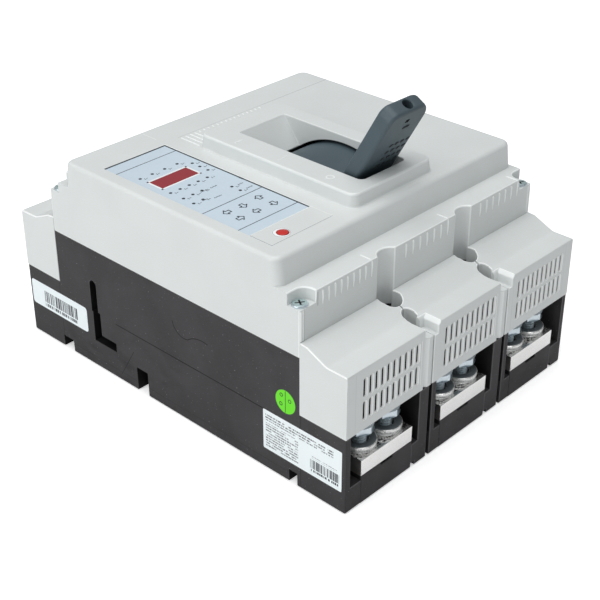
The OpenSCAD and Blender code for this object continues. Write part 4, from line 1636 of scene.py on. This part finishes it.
    def slots(self, end: End, pole: Pole) -> Obj:
        """Makes the cutter of a pole's ventilation slots, each with a slanted wall.

        Args:
            end: The end that it goes to.
            pole: Its pole at the load end.

        Returns:
            The cutter.
        """
        slots, (middle, width, height) = Blank(), self.slot
        place = Matrix(((1, 0, 0, 0), (0, 0, -1, -HALF_L), (0, 1, 0, 0), (0, 0, 0, 1)))
        for i in range(10):
            for z in self.slot_z:
                at, w, h = pole.value * PITCH + middle + (i - 4.5) * self.slot_pitch, width / 2, height / 2
                outline = [(at - w, z - h), (at + w, z - h), (at + w, z + h), (at - w, z + h)]
                made = slots.plate(outline, -3, 3, self.slot_corners, 3)
                for vert in (v for v in made if v.co.x > at):
                    vert.co.x += self.slot_slant * vert.co.z / self.skin
                slots.move(place, made)
        return slots.move(end.turn).cutter("slots_cut")

    def grilles(self, end: End) -> None:
        """Fronts with ventilation slots, with painted highlights on the slots' walls, over near-black plates that paint
        the shade behind them.

        Args:
            end: The end that they go to.
        """
        for pole in Pole:
            cutter = self.slots(end, pole)
            front = self.field(Blank(), pole, (0, 0, 0), (0, self.skin)).move(end.turn).formed()
            name = f"{end.word}_grille_{pole.word}"
            made = shell(name, front, COVER_GREY, self.slot_edge, 1, [cutter], rim=COVER_EDGE_HIGHLIGHT)
            # The slots' lower walls and slanted sides take the near-white copy: painted highlight.
            tint(made, COVER_EDGE_HIGHLIGHT, lambda p, n: p.z < 0.083 and (n.z > 0.5 or (0.2 < abs(n.y) < 0.9 and n.x * p.y > 0)))
            bpy.data.objects.remove(cutter)
        # Near-black plates behind the slots paint the shade inside them.
        blank = Blank()
        for pole in Pole:
            self.field(blank, pole, (1, 1, 0.5), (self.skin + 0.9, self.skin + 1.5))
        blank.move(end.turn).done(f"{end.word}_vent_baffles", SHADE_BLACK)

    def slot_edge(self, p: Vector, d: Vector) -> float:
        """Rounding of the slots' front edges.

        Args:
            p: Middle of the edge.
            d: Its direction, not used.

        Returns:
            Width of the rounding, in millimetres.
        """
        half, low, high = self.grille
        across = ((p.x + 35) % PITCH - 35) * (1 if p.y < 0 else -1)
        inner = abs(across - self.slot[0]) < half - 0.3 and low + 0.3 < p.z < high - 0.3
        return 0.3 if near(abs(p.y), HALF_L, 0.05) and inner else 0.0

    def bar_edge(self, p: Vector, d: Vector) -> float:
        """Rounding of the bars' edges."""
        return 0.5 if near(abs(p.y), HALF_L) or near(p.z, self.bar_top) else 0.0

    def spun(self, profile: Sequence[Pair], z: float, sides: int, closed: bool = True) -> Blank:
        """Spins a profile about each bolt axis of the load end.

        Args:
            profile: Radius and height of each point.
            z: Height that the profile is measured from.
            sides: Facets of a turn.
            closed: Whether the last point joins the first.

        Returns:
            The form.
        """
        blank = Blank()
        for x, y in self.centres():
            blank.lathe(profile, (x, y, z), sides, closed)
        return blank

    def centres(self) -> List[Pair]:
        """Bolt axes of the load end."""
        return [(pole.value * PITCH + s * self.bolt_pitch / 2, self.bolt_y) for pole in Pole for s in SIDES]

    def bolts(self, end: End) -> None:
        """Hexagon bolts with chamfered heads and threaded shanks.

        Args:
            end: The end that they go to.
        """
        blank, corner = Blank(), self.flats / 2 / math.cos(math.pi / 6)
        for x, y in self.centres():
            blank.rod((x, y, self.head_z + 0.8), corner, self.head_h - 1.7, sides=6)
            blank.rod((x, y, self.head_z), corner * 0.86, 0.82, sides=24, top=corner * 0.985)
            blank.rod((x, y, self.head_z + self.head_h - 0.92), corner * 0.985, 0.9, sides=24, top=corner * 0.86)
        blank.move(end.turn).done(f"{end.word}_hex_bolts", ZINC, f"{end.word}_bolts", angle=30.0)
        profile, z, r = [(0.0, 0.0)], 0.0, self.bolt_r
        while z < self.head_z - 20.2:
            profile += [(r - 0.9, z), (r, z + self.thread * 0.45), (r, z + self.thread * 0.6)]
            z += self.thread
        profile += [(r - 0.5, self.head_z - 19.9), (0.0, self.head_z - 19.9)]
        blank = self.spun(profile, self.shank_foot, 24, False)
        made = blank.move(end.turn).done(f"{end.word}_bolt_shanks", SHANK, angle=30.0)
        # Downward-facing flanks take the dark copy, painted shade.
        tint(made, THREAD_SHADE, lambda p, n: n.z < -0.25)

    def washers(self, end: End) -> None:
        """Flat washers on split spring washers.

        Args:
            end: The end that they go to.
        """
        r, bore = self.washer_r, self.bore_r
        profile = [(bore, 0.1), (r - 0.4, 0), (r, 0.35), (r, 1.6), (r - 0.5, 2), (bore + 0.3, 2), (bore, 1.8)]
        blank = self.spun(profile, self.washer_z, 56).move(end.turn)
        # The flat rings' tops keep the dark steel and their sides take the pale copy: painted shade and highlight of
        # one steel.
        tint(
            blank.done(f"{end.word}_flat_rings", DULL, f"{end.word}_flat_washers"), STEEL_HIGHLIGHT,
            lambda p, n: abs(n.z) < 0.95,
        )
        # The spring rings are all in the pale copy, a painted highlight.
        blank, r = Blank(), self.spring_r
        for x, y in self.centres():
            for z in (0.0, 1.35):
                profile = [(bore, z), (r - 0.35, z), (r, z + 0.25), (r, z + 0.6), (r - 0.35, z + 0.9), (bore, z + 0.9)]
                blank.lathe(profile, (x, y, self.bar_top), 56)
            blank.ring((x, y, self.bar_top + 0.05), bore + 0.05, r - 0.7, 2.3, 32)
        blank.move(end.turn).done(f"{end.word}_spring_rings", STEEL_HIGHLIGHT, f"{end.word}_spring_washers")

    def build(self) -> None:
        """Builds both ends."""
        for end in End:
            fields = Blank()
            for pole in Pole:
                self.field(fields, pole, (0, 0, 0), (-1, 4))
            field_cut = fields.cutter("field_cut")
            for pole in Pole:
                self.cover(end, pole, field_cut)
                made = dress(f"{end.word}_bar_{pole.word}", TIN_BAR, self.bar_edge, steps=2)
                # The end faces take near black, a painted reflection.
                tint(made, BAR_END_REFLECTION, lambda p, n: abs(n.x) > 0.95)
            bpy.data.objects.remove(field_cut)
            for fitting in (self.posts, self.grilles, self.bolts, self.washers):
                fitting(end)


@dataclass
class TripUnit:
    """Front plate, display, keys, lamps, strip and trip button."""

    z: float = 139.4
    lamps: Tuple[Pair, ...] = (
        (-88.7, 37.4), (-79.4, 37.4), (-69.7, 37.4), (-59.9, 37.4), (-53, 31.4), (-53, 24.8), (-53, 17.7),
        (-88.9, 10.5), (-81.6, 10.5), (-74.5, 10.5), (-67.5, 10.5), (-60.2, 10.5),
        (-88.6, -0.1), (-81.4, -0.1), (-74.3, -0.1), (-88.8, -8.9), (-81.7, -8.9), (-59, -8.9), (-59, -15.9),
    )
    rules: Tuple[float, ...] = (52.3, -21.9, -50.4)
    # Dark bars along the plate's edges: painted shadow of its shallow recess.
    borders: Tuple[Tuple[float, ...], ...] = (
        (-47.7, -46.95, -59.3, 62.8, 0.25), (-94.9, -47.1, 62.3, 62.95, 0.25), (-47.9, -46.9, -6.5, -3.0, 0.35),
    )
    dashes: Tuple[Triple, ...] = (
        (-76.4, -1.2, 6.5), (-68.6, -1.2, 5.0), (-83.0, -10.0, 4.0), (-76.0, -12.3, 6.0), (-54.6, -9.6, 4.5),
        (-54.6, -16.6, 5.5),
    )
    keys: Tuple[Triple, ...] = (
        (-83.4, -30.3, 90.0), (-71.7, -31.0, 180.0), (-58.2, -30.1, 0.0), (-83.3, -40.8, -90.0), (-70.8, -41.0, 90.0),
        (-57.5, -41.2, 180.0),
    )
    key: Tuple[Pair, ...] = (
        (0, 2.2), (-2.2, 0.2), (-1.0, 0.2), (-1.0, -1.8), (1.0, -1.8), (1.0, 0.2), (2.2, 0.2),
    )
    key_scale: float = 1.25
    window: Box = (-89.4, -58.4, 17.0, 31.2)
    button_at: Pair = (-80.2, -70.3)
    strip_z: float = 139.9
    seam_h: float = 0.13
    off: Pair = (-0.6, 0.35)
    cap_foot: float = 128.6
    cap: Tuple[Pair, ...] = ((0, 0), (3.3, 0), (3.4, 0.2), (3.4, 11.2), (3.2, 11.75), (2.6, 12.0), (0, 12.0))
    ring: Tuple[Pair, ...] = ((3.75, 0), (4.7, 0), (4.7, 0.16), (4.3, 0.24), (3.75, 0.16))

    def edge(self, p: Vector, d: Vector) -> float:
        """Rounding of the plate and the strip."""
        return 0.2 if p.z > 139.3 else 0.0

    def flat(self, blank: Blank, x0: float, x1: float, y0: float, y1: float, up: float, down: float = 0.05) -> None:
        """Prints a bar on the plate, by its edges and how far it stands up and down."""
        blank.block((x0, y0, self.z - down), (x1, y1, self.z + up))

    def print_work(self) -> None:
        """Lines, lamps, keys and dashes printed on the plate, and painted shadow lines along its edges."""
        blank = Blank()
        for y in self.rules:
            self.flat(blank, -94.6, -47.4, y - 0.25, y + 0.25, 0.05)
        for x, y in self.lamps:
            blank.rod((x, y, self.z - 0.05), 1.0, 0.12, sides=16)
            self.flat(blank, x + 1.7, x + 2.1, y - 3.1, y - 1.3, 0.04)
            self.flat(blank, x + 2.7, x + 3.9, y - 2.4, y - 2.0, 0.04)
        # Painted shadow of the recess along the plate's edges.
        for shadow_line in self.borders:
            self.flat(blank, *shadow_line, 0.3)
        for x, y, count in self.dashes:
            for i in range(int(count)):
                self.flat(blank, x + i, x + i + 0.55, y - 0.5, y + 0.5 - 0.3 * (i % 2), 0.04)
        blank.done("panel_print", PANEL_INK)
        blank = Blank()
        for x, y, turn in self.keys:
            self.arrow(blank, x, y, turn)
        blank.done("panel_keys", PANEL_INK)
        blank, (x0, x1, y0, y1) = Blank(), self.window
        for bar in ((x0, x1, y0, y0 + 1.2), (x0, x1, y1 - 1.2, y1), (x0, x0 + 1.2, y0, y1), (x1 - 1.2, x1, y0, y1)):
            self.flat(blank, *bar, 0.06)
        blank.done("window_frame_print", PANEL_WHITE)

    def arrow(self, blank: Blank, x: float, y: float, turn: float) -> None:
        """Draws the outline of one arrow key.

        Args:
            blank: The form that it is added to.
            x: Its middle across the poles.
            y: Its middle along the poles.
            turn: Its turn, in degrees.
        """
        drawn: List[Vert] = []
        for a, b in zip(self.key, self.key[1:] + self.key[:1]):
            start, run = Vector((*a, 0)), Vector((*b, 0)) - Vector((*a, 0))
            made = blank.block((-0.15, -0.22, 0), (run.length + 0.15, 0.22, 0.1))
            blank.move(Matrix.Translation(start) @ Matrix.Rotation(math.atan2(run.y, run.x), 4, "Z"), made)
            drawn += made
        place = Matrix.Translation((x, y, self.z - 0.04)) @ Matrix.Rotation(math.radians(turn), 4, "Z")
        blank.move(place @ Matrix.Scale(self.key_scale, 4), drawn)

    def button(self) -> None:
        """Domed red button in its pale ring, whose crescent paints a highlight on the lit side of the button's recess.
        """
        (x, y), z, top, blank = self.button_at, self.strip_z, self.strip_z + self.seam_h, Blank()
        blank.lathe(self.cap, (x, y, self.cap_foot), closed=False)
        blank.done("trip_button_cap", BUTTON_RED, "trip_button", body=Body.BUTTON)
        blank = Blank()
        # Outer points shift towards -X and +Y, so the pale ring shows as a crescent: painted highlight on the recess
        # wall.
        for vert in blank.lathe(self.ring, (x, y, z)):
            if math.hypot(vert.co.x - x, vert.co.y - y) > 4:
                vert.co += Vector((*self.off, 0))
        blank.done("trip_button_ring", PANEL_WHITE)
        blank = Blank()
        blank.ring((x + self.off[0], y + self.off[1], z), 4.66, 4.95, self.seam_h)
        blank.block((-95.1, -76.6, z), (-94.8, -60.1, top))
        blank.block((-95.1, -76.65, z), (-47.0, -76.35, top))
        blank.done("strip_seams", SEAM)

    def build(self) -> None:
        """Builds the trip unit."""
        for node, finish in (("trip_panel", PANEL_FILM), ("display_window", WINDOW_RED), ("button_strip", COVER_GREY)):
            dress(node, finish, self.edge, steps=1)
        self.print_work()
        self.button()


@dataclass
class Handle:
    """The lever, its shield and the pin they turn on."""

    x: float = 4.5
    lean: float = 29.6
    length: float = 127.9
    foot: float = 40.0
    thickness: float = 10.4
    width: float = 35.0
    corners: Pair = (11.0, 6.0)
    hole_r: float = 3.4
    hole_depth: float = 14.0
    slot: Triple = (3.3, 2.6, 3.0)
    slot_drop: float = 8.8
    rounding: float = 2.1
    swell: float = 1.052
    rows: Tuple[float, ...] = (98.0, 92.5, 87.0, 81.5)

    def frame(self) -> Matrix:
        """Place of the upright lever's own frame."""
        return Matrix.Translation((self.x, *PIVOT)) @ Matrix.Rotation(math.radians(self.lean), 4, "X")

    def lever(self) -> None:
        """Rounded plate with a hole in its tip and a slot in its load side."""
        blank, half, face = Blank(), self.width / 2, -self.thickness / 2
        outline = [(-half, self.foot), (half, self.foot), (half, self.length), (-half, self.length)]
        blank.plate(outline, face, -face, [0, 0, *self.corners], 7)
        blank.soften(
            self.rounding, 4,
            lambda e: min(v.co.y for v in e.verts) > self.foot - 1 and abs((e.verts[0].co - e.verts[1].co).z) < 1,
        )
        blank.move(self.frame() @ Matrix.Rotation(math.pi / 2, 4, "X"))
        made, cut = blank.done("lever_plate", LEVER_GREY, "handle_lever", body=Body.HANDLE), Blank()
        r, deep = self.hole_r, self.hole_depth
        hole = [(0, -deep), (r, -deep), (r, -0.4), (r + 0.7, 0.3), (0, 0.3)]
        cut.lathe(hole, (0, 0, self.length), closed=False)
        (width, height, depth), middle = self.slot, self.length - self.slot_drop
        cut.block((-width / 2, face - 1, middle - height / 2), (width / 2, face + depth, middle + height / 2))
        carve(made, cut.move(self.frame()).cutter("lever_cut"))
        made.data = level_faces(made)
        back = self.frame().inverted()
        tint(made, LEVER_SLOT, lambda p, n: self.in_slot(back @ (p * 1000)))

    def in_slot(self, p: Vector) -> bool:
        """Whether a point in the lever's own frame is on a wall of the small slot."""
        off = abs(p.z - self.length + self.slot_drop)
        return abs(p.x) < self.slot[0] / 2 + 0.05 and off < self.slot[1] / 2 + 0.05 and p.y > 0.1 - self.thickness / 2

    def shield_edge(self, p: Vector, d: Vector) -> float:
        """Rounding of the shield's edges."""
        return 0.6 if math.hypot(p.y - PIVOT[0], p.z - PIVOT[1]) > 50 else 0.0

    def bosses(self) -> None:
        """Rows of small grip bosses on the load side of the lever."""
        blank, face = Blank(), -self.thickness / 2
        places = [(-2.6 + column * 4.9 - row * 0.5, z, 1.9) for row, z in enumerate(self.rows) for column in range(4)]
        places += [(x, self.length - 15.2, 1.1) for x in (-0.4, 1.3, 3.0)]
        for x, z, wide in places:
            for vert in blank.block((x, face - 0.4, z), (x + wide, face + 0.3, z + 1.5)):
                if vert.co.z > z + 0.6:
                    vert.co.x += 0.8
        blank.move(self.frame()).done("lever_grip_bosses", LEVER_FACE, body=Body.HANDLE)

    def build(self) -> None:
        """Builds the handle."""
        self.lever()
        middle = Matrix.Translation((0, *PIVOT))
        swell = middle @ Matrix.Diagonal((1, self.swell, self.swell, 1)) @ middle.inverted()
        dress("handle_shield", LEVER_GREY, self.shield_edge, steps=2, place=swell, body=Body.HANDLE)
        dress("pivot_pin", DULL, lambda p, d: 0.3, steps=1)
        self.bosses()


@dataclass
class CoverScrews:
    """Pan head screws with a cross recess at the four corners."""

    axis: Pair = (99.6, 101.2)
    seat: float = 116.0
    cross: Pair = (2.6, 0.42)
    head: Tuple[Pair, ...] = (
        (0, -22), (2, -22), (2, 0), (4.5, 0), (4.65, 0.2), (4.65, 0.7), (4.4, 1.05), (3.8, 1.2), (0, 1.25),
    )
    dish: Tuple[Pair, ...] = ((0, 1.1), (4.0, 1.1), (4.0, 1.25), (3.6, 1.4), (0, 1.42))

    def places(self) -> List[Pair]:
        """Axes of the four screws."""
        return [(sx * self.axis[0], sy * self.axis[1]) for sx in SIDES for sy in SIDES]

    def crosses(self, depth: float, grow: float) -> Blank:
        """Draws upright crosses on the four screw axes.

        Args:
            depth: Height of their feet above the seat.
            grow: How much larger they are to all sides.

        Returns:
            The form.
        """
        blank, (long, wide) = Blank(), (size + grow for size in self.cross)
        for x, y in self.places():
            for turn in (1.0, 1.0 + math.pi / 2):
                half, top = wide + turn * 0.01, 4 + turn if grow else 1.0
                made = blank.block((-long, -half, depth), (long, half, top))
                blank.move(Matrix.Translation((x, y, self.seat)) @ Matrix.Rotation(turn, 4, "Z"), made)
        return blank

    def build(self) -> None:
        """Builds the four screws."""
        # The dish on each head takes the darker copy of the zinc, a painted reflection.
        for name, finish, profile, replaces in (
            ("cover_screw_heads", ZINC, self.head, ["cover_screws"]),
            ("cover_screw_dishes", DISH_REFLECTION, self.dish, []),
        ):
            blank = Blank()
            for x, y in self.places():
                blank.lathe(profile, (x, y, self.seat), closed=False)
            carve(blank.done(name, finish, *replaces), self.crosses(0.2, 0.1).cutter("cross_recesses"))
        # Near-black crosses in the recesses paint their shade.
        self.crosses(0.4, 0.0).done("cross_recess_floors", SHADE_BLACK)


@dataclass
class Studio:
    """Pale floor, soft light and the camera."""

    azimuth: float = -46.673
    elevation: float = 29.623
    shift_y: float = 0.05
    focal: float = 1278.4
    across: float = 600.0
    origin: Triple = (-5.36, 48.79, 850.12)
    sensor: float = 36.0
    sky: Box = (0.95, 0.97, 1.0, 1.0)
    sky_power: float = 0.287
    lamps: Tuple[Tuple[str, Triple, float, float], ...] = (
        ("lamp_above", (-0.1, -0.1, 2.0), 1.8, 26.8),
        ("lamp_high_left", (-1.35, -0.05, 1.25), 1.6, 4.4),
        ("lamp_low_left", (-1.9, 0.2, 0.6), 1.4, 12.0),
    )
    aim: Triple = (0.0, 0.0, 0.07)
    floor_size: float = 6.0
    floor_z: float = -0.0005
    far: float = 50.0

    def floor(self) -> None:
        """A wide pale floor."""
        bm = bmesh.new()
        bmesh.ops.create_grid(bm, x_segments=1, y_segments=1, size=self.floor_size)
        bmesh.ops.translate(bm, vec=(0, 0, self.floor_z), verts=bm.verts)
        mesh = bpy.data.meshes.new("floor")
        bm.to_mesh(mesh)
        bm.free()
        mesh.materials.append(FLOOR_WHITE.material())
        linked("floor", mesh)

    def look(self, made: Obj, way: Vector) -> None:
        """Turns a lamp or the camera to look along a direction."""
        made.rotation_mode = "QUATERNION"
        made.rotation_quaternion = way.to_track_quat("-Z", "Y")

    def light(self) -> None:
        """Square soft lamps that look at the part, under a pale sky."""
        for name, at, size, power in self.lamps:
            data = bpy.data.lights.new(name, "AREA")
            data.size, data.energy = size, power
            made = linked(name, data)
            made.location = at
            self.look(made, Vector(self.aim) - Vector(at))
        world = bpy.data.worlds.new("studio")
        world.use_nodes = True
        sockets = world.node_tree.nodes["Background"].inputs
        sockets[0].default_value, sockets[1].default_value = self.sky, self.sky_power
        bpy.context.scene.world = world

    def camera(self) -> None:
        """The camera, placed by where it has the part's origin: right, down and forward, in millimetres."""
        data = bpy.data.cameras.new("camera")
        made = linked("camera", data)
        azimuth, elevation = math.radians(self.azimuth), math.radians(self.elevation)
        level = math.cos(elevation)
        back = Vector((math.sin(azimuth) * level, -math.cos(azimuth) * level, math.sin(elevation)))
        self.look(made, -back)
        right, down, forward = self.origin
        made.location = made.rotation_quaternion.to_matrix() @ Vector((-right, down, forward)) * MM
        data.sensor_width, data.lens = self.sensor, self.focal * self.sensor / self.across
        data.shift_y, data.clip_end = -self.shift_y, self.far
        bpy.context.scene.camera = made
        bpy.context.scene.view_settings.view_transform = "Standard"

    def build(self) -> None:
        """Builds the studio."""
        self.floor()
        self.light()
        self.camera()


def main() -> None:
    """Loads the frame and builds every sub-assembly."""
    logging.basicConfig(level=logging.INFO, format="%(name)s: %(message)s")
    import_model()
    for part in (BaseHousing(), UpperCover(), Collar(), Terminals(), TripUnit(), Handle(), CoverScrews()):
        part.build()
        LOG.info("built %s", type(part).__name__)
    Studio().build()


if __name__ == "__main__":
    main()
